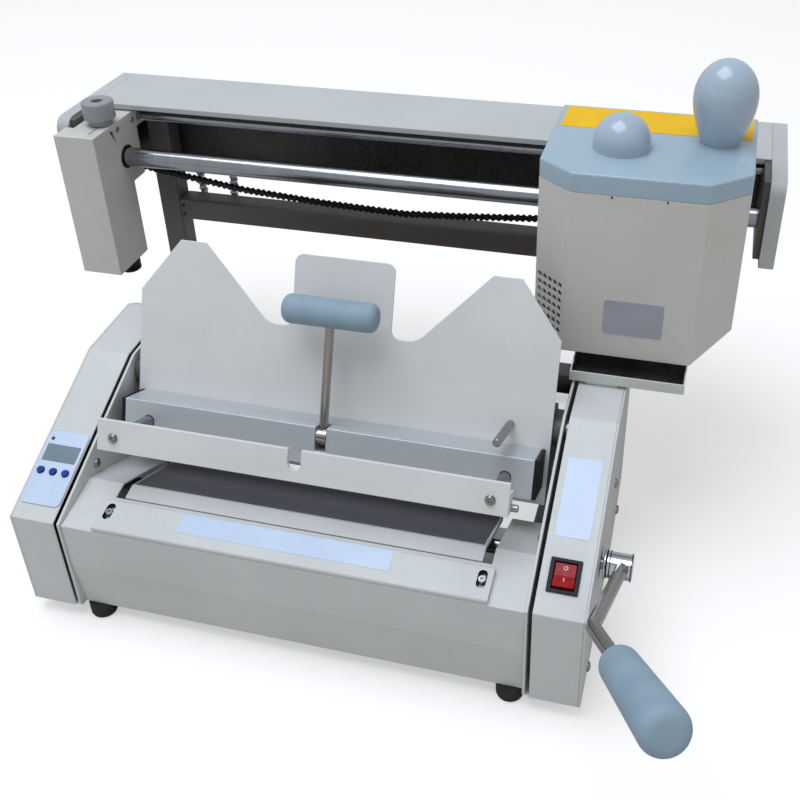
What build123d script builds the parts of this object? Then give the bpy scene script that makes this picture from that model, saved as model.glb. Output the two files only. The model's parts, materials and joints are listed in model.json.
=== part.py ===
from build123d import *
import math
import os

# Hot melt binding machine, millimetres. X to the right, Y to the back, Z up.
# The pieces are drawn with Y = 0 at the front faces of the side boxes and Z = 0 on the floor.
# They are saved with the origin on the floor, under the middle of the whole machine.

# General clearances and sheet
sheet = 2.0
running_gap = 0.05
seat_gap = 0.3
screw_head_radius = 4.5
screw_head_height = 2.6
panel_screws = ((170.0, 112.7), (219.0, 38.0), (37.0, 23.0))
inner_plate_screw = (69.0, 128.0)

# Feet and base
base_width = 504.0
base_depth = 255.0
foot_height = 15.0
foot_radius = 12.0
front_foot_x = 191.0
front_foot_y = 14.0
side_box_width = 48.5
inner_plate_thickness = 2.5
cover_slot = 3.5
side_front_height = 114.7
side_knee_y = 160.0
side_knee_height = 186.7
side_crest_y = 237.0
side_crest_height = 190.6
side_back_top_height = 181.0
side_back_low_height = 49.4
side_floor_depth = 194.0

# Centre cover and table
centre_front_y = 1.7
centre_front_height = 112.4
front_crease_height = 66.0
front_bottom_recess = 6.0
ridge_y = 54.3
ridge_height = 123.4
table_tilt = 22.5
table_front_y = 40.0
table_half_width = 161.0
table_groove = 8.0
table_front_gap = 0.8
table_rear_v = 96.0
table_thickness = 4.0
insert_inset = 2.4
insert_thickness = 0.8
post_radius = 4.0
post_x = 120.0
post_back = 90.0
post_length = 48.0
bridge_drop = 22.0
bridge_width = 22.0
bridge_thickness = 3.0
post_bush_height = 9.0
post_bush_wall = 3.0

# Gauge strip on the front slope
gauge_half_width = 173.5
gauge_front = 0.5
gauge_length = 32.0
gauge_thickness = 5.0
gauge_chamfer = 1.2
gauge_travel = 4.5
slot_x = 165.0
slot_centre = 20.0
slot_recess_radius = 3.7
slot_recess_depth = 2.6
gauge_shank_radius = 2.0
gauge_head_radius = 3.4

# Cam shaft and lever at the right
shaft_y = 84.0
shaft_height = 97.7
shaft_radius = 5.0
cam_throw = 5.7
cam_x = 100.0
cam_width = 12.0
cam_turn = 60.0
bearing_wall = 5.0
bearing_width = 12.0
shaft_left_overhang = 8.0
hub_start = 2.6
hub_length = 24.0
hub_radius = 11.0
collar_radius = 13.5
collar_width = 2.0
crank_rod_radius = 5.4
crank_rod_offset = 16.0
crank_reach = 157.2
crank_rise = 28.7
crank_lean = 3.7
crank_bend_out = 20.4
crank_bend_radius = 24.0
crank_neck = 60.5
crank_grip_length = 99.5
crank_grip_small = 13.8
crank_grip_large = 16.2
grip_end_roundness = 0.5
grip_bore_depth = 70.0

# Clamp, measured along v (back and down the table) and w (up from the table)
clamp_above_table = 37.4
bar_ahead_of_ridge = 22.6
front_bar_half_width = 180.0
front_bar_height = 27.8
front_bar_thickness = 4.2
front_bar_return = 14.0
bar_notch_half_width = 5.8
bar_notch_floor = 10.0
guide_rod_x = 165.0
guide_rod_w = 12.3
guide_rod_radius = 5.0
stub_pin_radius = 3.1
stub_pin_reach = 6.0
stub_pin_v = 9.0
stub_pin_w = 3.9
clamp_bar_half_width = 189.0
clamp_bar_cap = 3.5
clamp_bar_v = 56.3
clamp_bar_low = -4.2
clamp_bar_high = 30.8
clamp_bar_wall = 3.0
plate_v = 93.2
plate_thickness = 2.0
plate_half_width = 196.0
plate_low = -20.0
plate_shoulder = 126.0
plate_top = 175.0
wing_outer = 158.0
wing_inner = 133.0
notch_outer = 73.5
notch_side = 113.0
notch_floor = 109.0
notch_floor_outer = 68.0
tab_half_width = 46.5
tab_corner = 8.0
stop_pin_x = 159.6
stop_pin_w = 48.3
stop_pin_radius = 3.8
stop_pin_length = 62.0
cheek_x = 190.0
cheek_thickness = 6.0
cheek_low = -14.0
cheek_high = 66.0
cheek_depth = 26.0
cheek_flange = 20.0
pivot_gap = 0.3
pivot_w = 45.4
pivot_radius = 6.0
pivot_head_radius = 9.5
hub_boss_radius = 13.0

# Fold-down lever on the clamp bar
lever_v = 63.5
lever_w = 21.0
lever_eye_radius = 7.5
lever_pin_radius = 3.0
lever_pin_half_length = 12.0
lever_rod_radius = 3.9
lever_slot_half_width = 5.0
lever_block_half_width = 16.0
lever_slot_back = 8.8
lever_slot_floor = 9.0
lever_grip_w = 131.0
lever_grip_length = 85.4
lever_grip_radius = 13.0
lever_grip_roundness = 0.55

# Rear frame
tube = 25.0
rail_x = 191.0
rail_front_y = 130.0
upright_front_y = 425.5
left_upright_inset = 69.0
cross_tube_low = 189.3
beam_half_length = 366.6
beam_top = 335.6
beam_low = 255.0
beam_back_y = 489.0
beam_front_y = 397.0
beam_lip = 6.0
channel_wall = 3.0
end_cap_width = 14.0
end_cap_front_y = 344.0
end_cap_low = 249.0
end_cap_corner = 14.0
end_plate_width = 6.0
end_plate_front_y = 350.0
thick_rod_y = 375.0
thick_rod_height = 286.0
thick_rod_radius = 10.0
thin_rod_y = 411.6
thin_rod_drop = 17.0
thin_rod_radius = 5.0
cross_member_depth = 10.0
cross_member_low = 64.0
cross_member_high = 122.0

# Drive chain with its sag, as places along X and heights
chain_y = 414.0
chain_width = 8.0
chain_thickness = 7.0
chain_end_height = 262.0
chain_sag = ((-275.0, 251.0), (-195.0, 240.0), (-103.0, 234.0), (-12.6, 231.0), (46.0, 234.5), (127.0, 241.0))

# Glue head
head_width = 173.5
head_parking_gap = 32.6
head_front = 223.5
head_back = 358.0
lid_back = 372.0
left_chamfer_width = 29.8
left_chamfer_depth = 24.5
right_chamfer_width = 31.8
right_chamfer_depth = 27.5
head_low = 211.0
head_side_low = 236.0
head_wall = 2.0
lid_low = 366.4
lid_top = 383.0
lid_sheet = 3.0
lid_axis_inset = 8.5
lid_axis_drop = 12.5
hinge_pin_radius = 2.0
hinge_boss_radius = 4.6
hinge_x = 62.0
hinge_lug_width = 10.0
hinge_knuckle_width = 24.0
knob_from_right = 30.5
knob_y = 313.5
knob_height = 71.0
knob_widest = 0.55
knob_radius = 26.6
knob_neck_radius = 16.5
dome_from_left = 63.3
dome_y = 283.6
dome_radius = 24.6
dome_collar = 5.0
carriage_thickness = 6.0
carriage_flange = 41.0
carriage_back_gap = 4.5
housing_half = 17.0
housing_length = 30.0
housing_inset = 8.0
bush_wall = 3.0
thin_block_half = 8.0
thin_block_top_gap = 2.6
wheel_radius = 50.0
wheel_width = 12.0
wheel_y = 297.5
wheel_shaft_radius = 4.0
wheel_shaft_drop = 17.0
sprocket_radius = 16.0
sprocket_teeth = 12
sprocket_root = 0.84
tank_half_width = 62.0
tank_wall = 5.0
tank_side = 10.0
tank_low = 224.0
tank_rim = 262.0
tank_ear_top = 280.0
tank_half_depth = 29.5
heater_radius = 3.2
heater_height = 240.0
arm_width = 14.0

# Drip tray on the right box
tray_left = 201.0
tray_right = 301.0
tray_front = 206.0
tray_back = 302.0
tray_low = 192.2
tray_top = 202.4
tray_floor = 1.5

# Notching carriage at the left
notcher_setback = 12.2
notcher_width = 45.4
notcher_front = 319.0
notcher_waist_y = 343.0
notcher_back = 380.0
notcher_rear_back = 404.0
notcher_low = 169.7
notcher_top = 328.0
notcher_rear_inset = 9.4
notcher_low_part_top = 246.0
notcher_rear_low = 255.0
notcher_wall = 2.5
notcher_bush_outer = 14.0
fork_back = 421.0
fork_low = 309.0
cutter_inset = 32.4
cutter_y = 359.0
cutter_radius = 12.0
cutter_height = 14.0
spindle_radius = 5.0
spindle_gap = 7.0
knob_disc_radius = 16.4
knob_disc_height = 18.5
knob_disc_round = 1.5
knob_hub_radius = 12.0
knob_hub_gap = 0.8

# Panels, on the slope of the side boxes: s up the slope, n out of it
panel_thickness = 1.2
panel_half_width = 19.5
panel_start = 14.7
panel_end = 86.6
panel_corner = 5.0
display_start = 56.2
display_end = 72.7
display_half_width = 16.5
button_s = 46.4
button_pitch = 12.2
button_radius = 3.3
button_height = 2.0
button_depth = 6.0
button_round = 0.8
rocker_s = 34.0
rocker_x = 228.9
bezel_half_width = 12.6
bezel_half_length = 14.4
bezel_thickness = 2.0
bezel_body_half_width = 10.8
bezel_body_half_length = 12.8
bezel_body_depth = 16.0
rocker_half_width = 8.6
rocker_half_length = 10.4
rocker_side_gap = 0.4
rocker_end_gap = 1.0
rocker_angle = 8.0
rocker_pivot_depth = 3.0
rocker_skirt = 4.0
rocker_dip = 0.6
rocker_axle_radius = 1.5
board_thickness = 1.6
board_standoff = 5.0
board_front = 34.0
board_length = 84.0
board_low = 40.0
board_height = 64.0
pillar_inset = 8.0
pillar_radius = 2.5
inlet_half_width = 14.0
inlet_low = 92.0
inlet_height = 22.0
inlet_depth = 18.0

# Wrapped lead behind the cross tube
lead_radius = 5.2
lead_y = 462.0
lead_inset = 92.6
lead_leg_spacing = 42.0
lead_low = 180.0
lead_high = 300.0
lead_bend = 20.9
clip_half_height = 5.0

# Values worked out from the sizes above
half_base = base_width / 2
plate_in = half_base - side_box_width
plate_out = plate_in + inner_plate_thickness
cover_in = plate_out + cover_slot
panel_in = half_base - sheet
floor_top = foot_height + sheet
slope_angle = math.degrees(math.atan2(side_knee_height - side_front_height, side_knee_y))
front_slope_angle = math.degrees(math.atan2(ridge_height - centre_front_height, ridge_y - centre_front_y))
tilt = math.radians(table_tilt)
clamp_y = ridge_y - bar_ahead_of_ridge * math.cos(tilt) + clamp_above_table * math.sin(tilt)
clamp_z = ridge_height + bar_ahead_of_ridge * math.sin(tilt) + clamp_above_table * math.cos(tilt)
table_level = -clamp_above_table
plate_back_v = plate_v + plate_thickness
pivot_v = plate_back_v + hub_boss_radius + pivot_gap
beam_under_top = beam_top - sheet
thin_rod_height = beam_top - thin_rod_drop
wheel_shaft_height = thick_rod_height - wheel_shaft_drop
end_plate_in = beam_half_length - end_cap_width - end_plate_width
cap_in = beam_half_length - end_cap_width
rear_y = upright_front_y + tube
left_upright_x = beam_half_length - left_upright_inset
notcher_left = notcher_setback - beam_half_length
notcher_right = notcher_left + notcher_width
notcher_rear_left = notcher_left + notcher_rear_inset
cutter_x = notcher_left + cutter_inset
lead_left_x = -beam_half_length + lead_inset
lead_right_x = lead_left_x + lead_leg_spacing
head_right = beam_half_length - head_parking_gap
head_left = head_right - head_width
head_middle = (head_left + head_right) / 2
left_chamfer_x = head_left + left_chamfer_width
left_chamfer_y = head_front + left_chamfer_depth
right_chamfer_x = head_right - right_chamfer_width
right_chamfer_y = head_front + right_chamfer_depth
lid_axis_y = lid_back - lid_axis_inset
lid_axis_height = lid_top - lid_axis_drop
knob_x = head_right - knob_from_right
dome_x = head_left + dome_from_left
lid_outline = [
    (head_right, lid_back),
    (head_right, right_chamfer_y),
    (right_chamfer_x, head_front),
    (left_chamfer_x, head_front),
    (head_left, left_chamfer_y),
    (head_left, lid_back),
]
side_outline = [
    (0, foot_height),
    (0, side_front_height),
    (side_knee_y, side_knee_height),
    (side_crest_y, side_crest_height),
    (base_depth, side_back_top_height),
    (base_depth, side_back_low_height),
    (side_floor_depth, foot_height),
]


def block(x0, x1, y0, y1, z0, z1):
    return Pos((x0 + x1) / 2, (y0 + y1) / 2, (z0 + z1) / 2) * Box(x1 - x0, y1 - y0, z1 - z0)


def rod(start, end, radius):
    start = Vector(start)
    along = Vector(end) - start
    return Solid.make_cylinder(radius, along.length, Plane(origin=start, z_dir=along))


def outline_x(points, x0, x1):
    """A solid with a side outline of (y, z) points, from x0 to x1."""
    face = Plane.YZ * make_face(Polyline(*points, close=True))
    return Pos(x0, 0, 0) * extrude(face, amount=x1 - x0, dir=(1, 0, 0))


def outline_y(points, y0, y1):
    """A solid with a front outline of (x, z) points, from y0 to y1."""
    face = Plane.XZ * make_face(Polyline(*points, close=True))
    return Pos(0, y0, 0) * extrude(face, amount=y1 - y0, dir=(0, 1, 0))


def outline_z(points, z0, z1):
    """A solid with a plan outline of (x, y) points, from z0 to z1."""
    face = make_face(Polyline(*points, close=True))
    return Pos(0, 0, z0) * extrude(face, amount=z1 - z0, dir=(0, 0, 1))


def set_back(points, distance, closed=False):
    """The path moved to its right by a distance, with mitred corners."""
    count = len(points)
    moved = []
    for index, (a, b) in enumerate(points):
        before = points[index - 1] if closed or index > 0 else None
        after = points[(index + 1) % count] if closed or index < count - 1 else None
        normals = []
        for start, end in ((before, (a, b)), ((a, b), after)):
            if start is not None and end is not None:
                length = math.dist(start, end)
                normals.append(((end[1] - start[1]) / length, (start[0] - end[0]) / length))
        first, last = normals[0], normals[-1]
        scale = distance / (1 + first[0] * last[0] + first[1] * last[1])
        moved.append((a + (first[0] + last[0]) * scale, b + (first[1] + last[1]) * scale))
    return moved


def bent(points, thickness):
    """The closed outline of a bent sheet whose outer face follows the points."""
    return points + set_back(points, thickness)[::-1]


def both_sides(shape):
    return [shape, mirror(shape, about=Plane.YZ)]


def clamp_place(shape):
    """Moves a shape drawn in the clamp's own frame (x, v, w) to the machine."""
    return Pos(0, clamp_y, clamp_z) * Rot(-table_tilt, 0, 0) * shape


def clamp_point(v, w):
    y = clamp_y + v * math.cos(tilt) + w * math.sin(tilt)
    z = clamp_z - v * math.sin(tilt) + w * math.cos(tilt)
    return y, z


def to_clamp(y, z):
    """The place (v, w) in the clamp's frame of a machine point (y, z)."""
    v = (y - clamp_y) * math.cos(tilt) - (z - clamp_z) * math.sin(tilt)
    w = (y - clamp_y) * math.sin(tilt) + (z - clamp_z) * math.cos(tilt)
    return v, w


def slope_place(shape):
    """Moves a shape drawn on the side boxes' slope (x, s, n) to the machine."""
    return Pos(0, 0, side_front_height) * Rot(slope_angle, 0, 0) * shape


def gauge_place(shape):
    """Moves a shape drawn on the centre cover's front slope (x, s, n) to the machine."""
    return Pos(0, centre_front_y, centre_front_height) * Rot(front_slope_angle, 0, 0) * shape


pieces = {}


def save(name, *shapes):
    """Keeps a node's solids until the whole machine is known."""
    pieces[name] = [solid for shape in shapes for solid in shape.solids()]


def export_all():
    whole = Compound([solid for solids in pieces.values() for solid in solids]).bounding_box()
    middle = Pos(-(whole.min.X + whole.max.X) / 2, -(whole.min.Y + whole.max.Y) / 2, -whole.min.Z)
    print("moved by", middle.position)
    for name, solids in pieces.items():
        placed = [middle * solid for solid in solids]
        export_step(placed[0] if len(placed) == 1 else Compound(placed), f"parts/{name}.step")


def base_pan():
    pan = block(-panel_in, panel_in, sheet, side_floor_depth - 2 * sheet, foot_height, floor_top)
    front = centre_front_y + front_bottom_recess + sheet + seat_gap
    return pan - block(-plate_in, plate_in, 0, front, foot_height, floor_top)


def rear_table_edge():
    """The machine point at the rear end of the table's top face."""
    return clamp_point(table_rear_v, table_level)


def base_front_cover():
    top = [
        (centre_front_y + front_bottom_recess, foot_height),
        (centre_front_y, front_crease_height),
        (centre_front_y, centre_front_height),
        (ridge_y, ridge_height),
        rear_table_edge(),
    ]
    cover = outline_x(bent(top, sheet), -plate_in, plate_in)
    opening_x = table_half_width + table_groove
    cover -= block(
        -opening_x, opening_x, table_front_y - table_front_gap, base_depth, foot_height, ridge_height + sheet
    )
    for x in (-slot_x, slot_x):
        cover -= gauge_place(rod((x, slot_centre, -2 * sheet), (x, slot_centre, sheet), gauge_shank_radius))
    return cover


def inner_plate():
    plate = outline_x(side_outline, plate_in, plate_out)
    plate -= block(plate_in, plate_out, 0, base_depth, 0, floor_top)
    pivot = clamp_point(pivot_v, pivot_w)
    plate -= rod((plate_in, *pivot), (plate_out, *pivot), pivot_radius)
    bearing_radius = shaft_radius + 2 * running_gap + bearing_wall
    plate -= rod((plate_in, shaft_y, shaft_height), (plate_out, shaft_y, shaft_height), bearing_radius)
    return plate


def side_cover():
    cover = outline_x(side_outline, cover_in, panel_in)
    cover -= outline_x(set_back(side_outline, sheet, closed=True), cover_in, panel_in)
    return cover - block(cover_in, panel_in, sheet, side_floor_depth - 2 * sheet, foot_height, floor_top)


def button_places():
    middle = -(cover_in + panel_in) / 2
    return [middle - button_pitch, middle, middle + button_pitch]


def left_side_cover():
    cover = mirror(side_cover(), about=Plane.YZ)
    for x in button_places():
        cover -= slope_place(rod((x, button_s, -2 * sheet), (x, button_s, sheet), button_radius + seat_gap))
    return cover


def right_side_cover():
    cover = side_cover()
    hole = block(
        rocker_x - bezel_body_half_width,
        rocker_x + bezel_body_half_width,
        rocker_s - bezel_body_half_length,
        rocker_s + bezel_body_half_length,
        -2 * sheet,
        sheet,
    )
    cover -= slope_place(hole)
    middle = (cover_in + panel_in) / 2
    cover -= block(
        middle - inlet_half_width,
        middle + inlet_half_width,
        base_depth - 2 * sheet,
        base_depth + sheet,
        inlet_low,
        inlet_low + inlet_height,
    )
    return cover


def side_panel():
    return outline_x(side_outline, panel_in, half_base)


def cam_shaft_pieces():
    """The shaft with its two cams, and the lever's hub and rod that turn with it."""
    centre = (shaft_y, shaft_height)
    hub_x = half_base + hub_start
    start = (-plate_out - shaft_left_overhang, *centre)
    shaft = rod(start, (hub_x + hub_length / 2, *centre), shaft_radius)
    swing = math.radians(cam_turn)
    v, w = to_clamp(*centre)
    cam_y, cam_z = clamp_point(v - cam_throw * math.sin(swing), w - cam_throw * math.cos(swing))
    cam_radius = (table_level - table_thickness - seat_gap) - (w - cam_throw * math.cos(swing))
    for x in (-cam_x, cam_x):
        shaft += rod((x - cam_width / 2, cam_y, cam_z), (x + cam_width / 2, cam_y, cam_z), cam_radius)
    return shaft


def crank_direction():
    rise = math.radians(crank_rise)
    return Vector(0, -math.cos(rise), math.sin(rise))


def crank_path():
    """The lever's centre line: out of the hub, a bend outwards, then into the grip."""
    along = crank_direction()
    start = Vector(half_base + hub_start + crank_rod_offset, shaft_y, shaft_height)
    lean = math.radians(crank_lean)
    bend = start + (along * math.cos(lean) - Vector(math.sin(lean), 0, 0)) * crank_reach
    out = math.radians(crank_bend_out)
    last = Vector(math.sin(out), 0, 0) + along * math.cos(out)
    return start, bend, last


def crank_arm():
    start, bend, last = crank_path()
    end = bend + last * (crank_neck + grip_bore_depth)
    path = FilletPolyline(start, bend, end, radius=crank_bend_radius)
    arm = sweep(Plane(origin=start, z_dir=bend - start) * Circle(crank_rod_radius), path=path)
    hub_x = half_base + hub_start
    centre = (shaft_y, shaft_height)
    arm += rod((hub_x, *centre), (hub_x + hub_length, *centre), hub_radius)
    arm += rod((hub_x, *centre), (hub_x + collar_width, *centre), collar_radius)
    return arm - rod((hub_x, *centre), (hub_x + hub_length / 2, *centre), shaft_radius)


def crank_grip():
    """A tapered grip with rounded ends and a blind bore for the rod."""
    start, bend, last = crank_path()
    round_small = crank_grip_small * grip_end_roundness
    round_large = crank_grip_large * grip_end_roundness
    with BuildLine() as side:
        Line((0, 0), (crank_grip_small - round_small, 0))
        JernArc((crank_grip_small - round_small, 0), (1, 0), round_small, 90)
        Line((crank_grip_small, round_small), (crank_grip_large, crank_grip_length - round_large))
        JernArc((crank_grip_large, crank_grip_length - round_large), (0, 1), round_large, 90)
        Line((crank_grip_large - round_large, crank_grip_length), (0, crank_grip_length))
        Line((0, crank_grip_length), (0, 0))
    profile = Plane.XZ * make_face(side.line)
    grip = revolve(profile, Axis.Z)
    grip -= rod((0, 0, 0), (0, 0, grip_bore_depth), crank_rod_radius)
    return Plane(origin=bend + last * crank_neck, z_dir=last) * grip


def shaft_bearings():
    inner = shaft_radius + 2 * running_gap
    rings = []
    for side in (-1, 1):
        middle = side * (plate_in + plate_out) / 2
        ends = (middle - bearing_width / 2, middle + bearing_width / 2)
        start, end = [(x, shaft_y, shaft_height) for x in ends]
        rings.append(rod(start, end, inner + bearing_wall) - rod(start, end, inner))
    return rings


def right_side_panel():
    hole = rod((panel_in, shaft_y, shaft_height), (half_base, shaft_y, shaft_height), shaft_radius + sheet)
    return side_panel() - hole


def press_table():
    top = [
        (table_front_y, front_slope_height(table_front_y)),
        (ridge_y, ridge_height),
        rear_table_edge(),
    ]
    table = outline_x(bent(top, table_thickness), -table_half_width, table_half_width)
    under = table_level - table_thickness
    for x in (-post_x, post_x):
        table += clamp_place(rod((x, post_back, under), (x, post_back, under - post_length), post_radius))
    return table


def front_slope_height(y):
    return centre_front_height + (y - centre_front_y) * math.tan(math.radians(front_slope_angle))


def table_insert():
    half = table_half_width - insert_inset
    front = bar_ahead_of_ridge + insert_inset
    plate = block(-half, half, front, table_rear_v, table_level, table_level + insert_thickness)
    return clamp_place(plate)


def table_bridge():
    """The fixed bar between the inner plates that guides the table's posts."""
    high = table_level - table_thickness - bridge_drop
    half = bridge_width / 2
    bar = block(-plate_in, plate_in, post_back - half, post_back + half, high - bridge_thickness, high)
    for x in (-post_x, post_x):
        low = high - bridge_thickness - post_bush_height
        bar += rod((x, post_back, high - bridge_thickness), (x, post_back, low), post_radius + post_bush_wall)
        bar -= rod((x, post_back, high), (x, post_back, low), post_radius + 2 * running_gap)
    return clamp_place(bar)


def gauge_plate():
    back = gauge_front + gauge_length
    plate = block(-gauge_half_width, gauge_half_width, gauge_front, back, seat_gap, gauge_thickness)
    top_edges = plate.edges().filter_by(Axis.X).group_by(Axis.Z)[-1]
    plate = chamfer(top_edges, gauge_chamfer)
    head_reach = gauge_travel + gauge_head_radius - slot_recess_radius + seat_gap
    for x in (-slot_x, slot_x):
        plate -= slot_cut(x, gauge_shank_radius + seat_gap, gauge_travel + seat_gap, 0)
        plate -= slot_cut(x, slot_recess_radius, head_reach, gauge_thickness - slot_recess_depth)
    return gauge_place(plate)


def slot_cut(x, radius, reach, low):
    """A round-ended slot in the gauge strip, down to a height."""
    ends = (slot_centre - reach, slot_centre + reach)
    slot = block(x - radius, x + radius, ends[0], ends[1], low, gauge_thickness)
    for s in ends:
        slot += rod((x, s, low), (x, s, gauge_thickness), radius)
    return slot


def gauge_screws():
    seat = gauge_thickness - slot_recess_depth + seat_gap
    screws = []
    for x in (-slot_x, slot_x):
        shank = rod((x, slot_centre, -2 * sheet), (x, slot_centre, seat), gauge_shank_radius)
        head = rod((x, slot_centre, seat), (x, slot_centre, gauge_thickness), gauge_head_radius)
        screws.append(gauge_place(shank + head))
    return screws


def rubber_feet():
    rear_y_middle = upright_front_y + tube / 2
    places = [
        (-front_foot_x, front_foot_y, foot_height),
        (front_foot_x, front_foot_y, foot_height),
        (-left_upright_x, rear_y_middle, floor_top),
        (rail_x, rear_y_middle, floor_top),
    ]
    return [rod((x, y, 0), (x, y, top), foot_radius) for x, y, top in places]


def front_bar():
    front = -front_bar_thickness
    notch = bar_notch_half_width
    bar = block(-front_bar_half_width, front_bar_half_width, front, 0, 0, front_bar_height)
    bar -= block(-notch, notch, front, 0, bar_notch_floor, front_bar_height)
    for side in (-1, 1):
        edge = side * front_bar_half_width
        inner = side * (front_bar_half_width - sheet)
        low_x, high_x = sorted((edge, inner))
        bar += block(low_x, high_x, 0, front_bar_return, 0, guide_rod_w + guide_rod_radius)
        pin = (edge + side * stub_pin_reach, stub_pin_v, stub_pin_w)
        bar += rod((inner, stub_pin_v, stub_pin_w), pin, stub_pin_radius)
    return clamp_place(bar)


def guide_rods():
    return [
        clamp_place(rod((x, 0, guide_rod_w), (x, plate_v, guide_rod_w), guide_rod_radius))
        for x in (-guide_rod_x, guide_rod_x)
    ]


def clamp_pins():
    """The stop pin at the right, and the screws that hold the front bar on its rods."""
    start = (stop_pin_x, plate_v - stop_pin_length, stop_pin_w)
    pins = [clamp_place(rod(start, (stop_pin_x, plate_v, stop_pin_w), stop_pin_radius))]
    front = -front_bar_thickness
    for x in (-guide_rod_x, guide_rod_x):
        screw = rod((x, front - screw_head_height, guide_rod_w), (x, front, guide_rod_w), screw_head_radius)
        pins.append(clamp_place(screw))
    return pins


def back_plate():
    half = [
        (0, plate_top),
        (tab_half_width - tab_corner, plate_top),
        (tab_half_width, plate_top - tab_corner),
        (tab_half_width, notch_floor + tab_corner),
        (tab_half_width + tab_corner, notch_floor),
        (notch_floor_outer, notch_floor),
        (notch_outer, notch_side),
        (wing_inner, plate_top),
        (wing_outer, plate_top),
        (plate_half_width, plate_shoulder),
        (plate_half_width, plate_low),
    ]
    full = half + [(-x, w) for x, w in half[:0:-1]]
    return clamp_place(outline_y(full, plate_v, plate_back_v))


def clamp_cheeks():
    """Angle brackets behind the plate, each with the boss that turns on its pivot pin."""
    outer = cheek_x + cheek_thickness
    back = plate_back_v + cheek_depth
    flange_back = plate_back_v + inner_plate_thickness
    cheek = block(cheek_x, outer, plate_back_v, back, cheek_low, cheek_high)
    cheek += block(cheek_x - cheek_flange, cheek_x, plate_back_v, flange_back, cheek_low, cheek_high)
    boss_end = plate_in - seat_gap
    cheek += rod((cheek_x, pivot_v, pivot_w), (boss_end, pivot_v, pivot_w), hub_boss_radius)
    cheek -= rod((cheek_x, pivot_v, pivot_w), (boss_end, pivot_v, pivot_w), pivot_radius + running_gap)
    return both_sides(clamp_place(cheek))


def pivot_pins():
    y, z = clamp_point(pivot_v, pivot_w)
    pin = rod((cheek_x + seat_gap, y, z), (plate_out, y, z), pivot_radius)
    pin += rod((plate_out, y, z), (cover_in - seat_gap, y, z), pivot_head_radius)
    return both_sides(pin)


def clamp_bar():
    """A painted box tube with a solid middle, slotted for the lever, sliding on the guide rods."""
    half = clamp_bar_half_width
    bar_back = plate_v - seat_gap
    bar = block(-half, half, clamp_bar_v, bar_back, clamp_bar_low, clamp_bar_high)
    for side in (-1, 1):
        ends = sorted((side * lever_block_half_width, side * half))
        bar -= block(
            ends[0],
            ends[1],
            clamp_bar_v + clamp_bar_wall,
            bar_back - clamp_bar_wall,
            clamp_bar_low + clamp_bar_wall,
            clamp_bar_high - clamp_bar_wall,
        )
        x = side * guide_rod_x
        bore = guide_rod_radius + 2 * running_gap
        bar -= rod((x, clamp_bar_v, guide_rod_w), (x, bar_back, guide_rod_w), bore)
    bar -= block(
        -lever_slot_half_width,
        lever_slot_half_width,
        clamp_bar_v,
        lever_v + lever_slot_back,
        lever_slot_floor,
        clamp_bar_high,
    )
    reach = lever_pin_half_length + seat_gap
    bar -= rod((-reach, lever_v, lever_w), (reach, lever_v, lever_w), lever_pin_radius + running_gap)
    return clamp_place(bar)


def clamp_bar_caps():
    bar_back = plate_v - seat_gap
    end = clamp_bar_half_width
    cap = block(end, end + clamp_bar_cap, clamp_bar_v, bar_back, clamp_bar_low, clamp_bar_high)
    wall = clamp_bar_wall
    cap += block(
        end - 2 * wall, end, clamp_bar_v + wall, bar_back - wall, clamp_bar_low + wall, clamp_bar_high - wall
    )
    return both_sides(clamp_place(cap))


def lever_arm():
    eye = lever_slot_half_width - seat_gap
    arm = rod((-eye, lever_v, lever_w), (eye, lever_v, lever_w), lever_eye_radius)
    reach = lever_pin_half_length
    arm += rod((-reach, lever_v, lever_w), (reach, lever_v, lever_w), lever_pin_radius)
    arm += rod((0, lever_v, lever_w), (0, lever_v, lever_grip_w), lever_rod_radius)
    return clamp_place(arm)


def lever_grip():
    end = lever_grip_length / 2
    grip = rod((-end, lever_v, lever_grip_w), (end, lever_v, lever_grip_w), lever_grip_radius)
    grip = fillet(grip.edges().filter_by(GeomType.CIRCLE), lever_grip_radius * lever_grip_roundness)
    low = lever_grip_w - lever_grip_radius
    grip -= rod((0, lever_v, low), (0, lever_v, lever_grip_w), lever_rod_radius)
    return clamp_place(grip)


def side_rails():
    return [
        block(x - tube / 2, x + tube / 2, rail_front_y, upright_front_y, floor_top, floor_top + tube)
        for x in (-rail_x, rail_x)
    ]


def rear_rail():
    left = -left_upright_x - tube / 2
    right = rail_x + tube / 2
    return block(left, right, upright_front_y, rear_y, floor_top, floor_top + tube)


def upright(x):
    return block(x - tube / 2, x + tube / 2, upright_front_y, rear_y, floor_top + tube, beam_under_top)


def cross_tube():
    left = -left_upright_x + tube / 2
    return block(left, rail_x - tube / 2, upright_front_y, rear_y, cross_tube_low, cross_tube_low + tube)


def main_beam():
    """A channel that opens to the back, behind the uprights."""
    back = beam_back_y - sheet
    wall = channel_wall
    end = end_plate_in
    beam = block(-end, end, rear_y, back, beam_low, beam_under_top)
    beam -= block(-end, end, rear_y + wall, back, beam_low + wall, beam_under_top - wall)
    for x in (lead_left_x, lead_right_x):
        beam -= rod((x, lead_y, beam_low), (x, lead_y, beam_low + wall), lead_radius)
    return beam


def beam_cover():
    path = [
        (beam_front_y, beam_top - beam_lip),
        (beam_front_y, beam_top),
        (beam_back_y, beam_top),
        (beam_back_y, beam_low),
    ]
    cover = outline_x(bent(path, sheet), -cap_in, cap_in)
    for side in (-1, 1):
        ends = sorted((side * end_plate_in, side * cap_in))
        cover -= block(ends[0], ends[1], beam_front_y, beam_back_y - sheet, beam_low, beam_under_top)
    return cover


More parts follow.
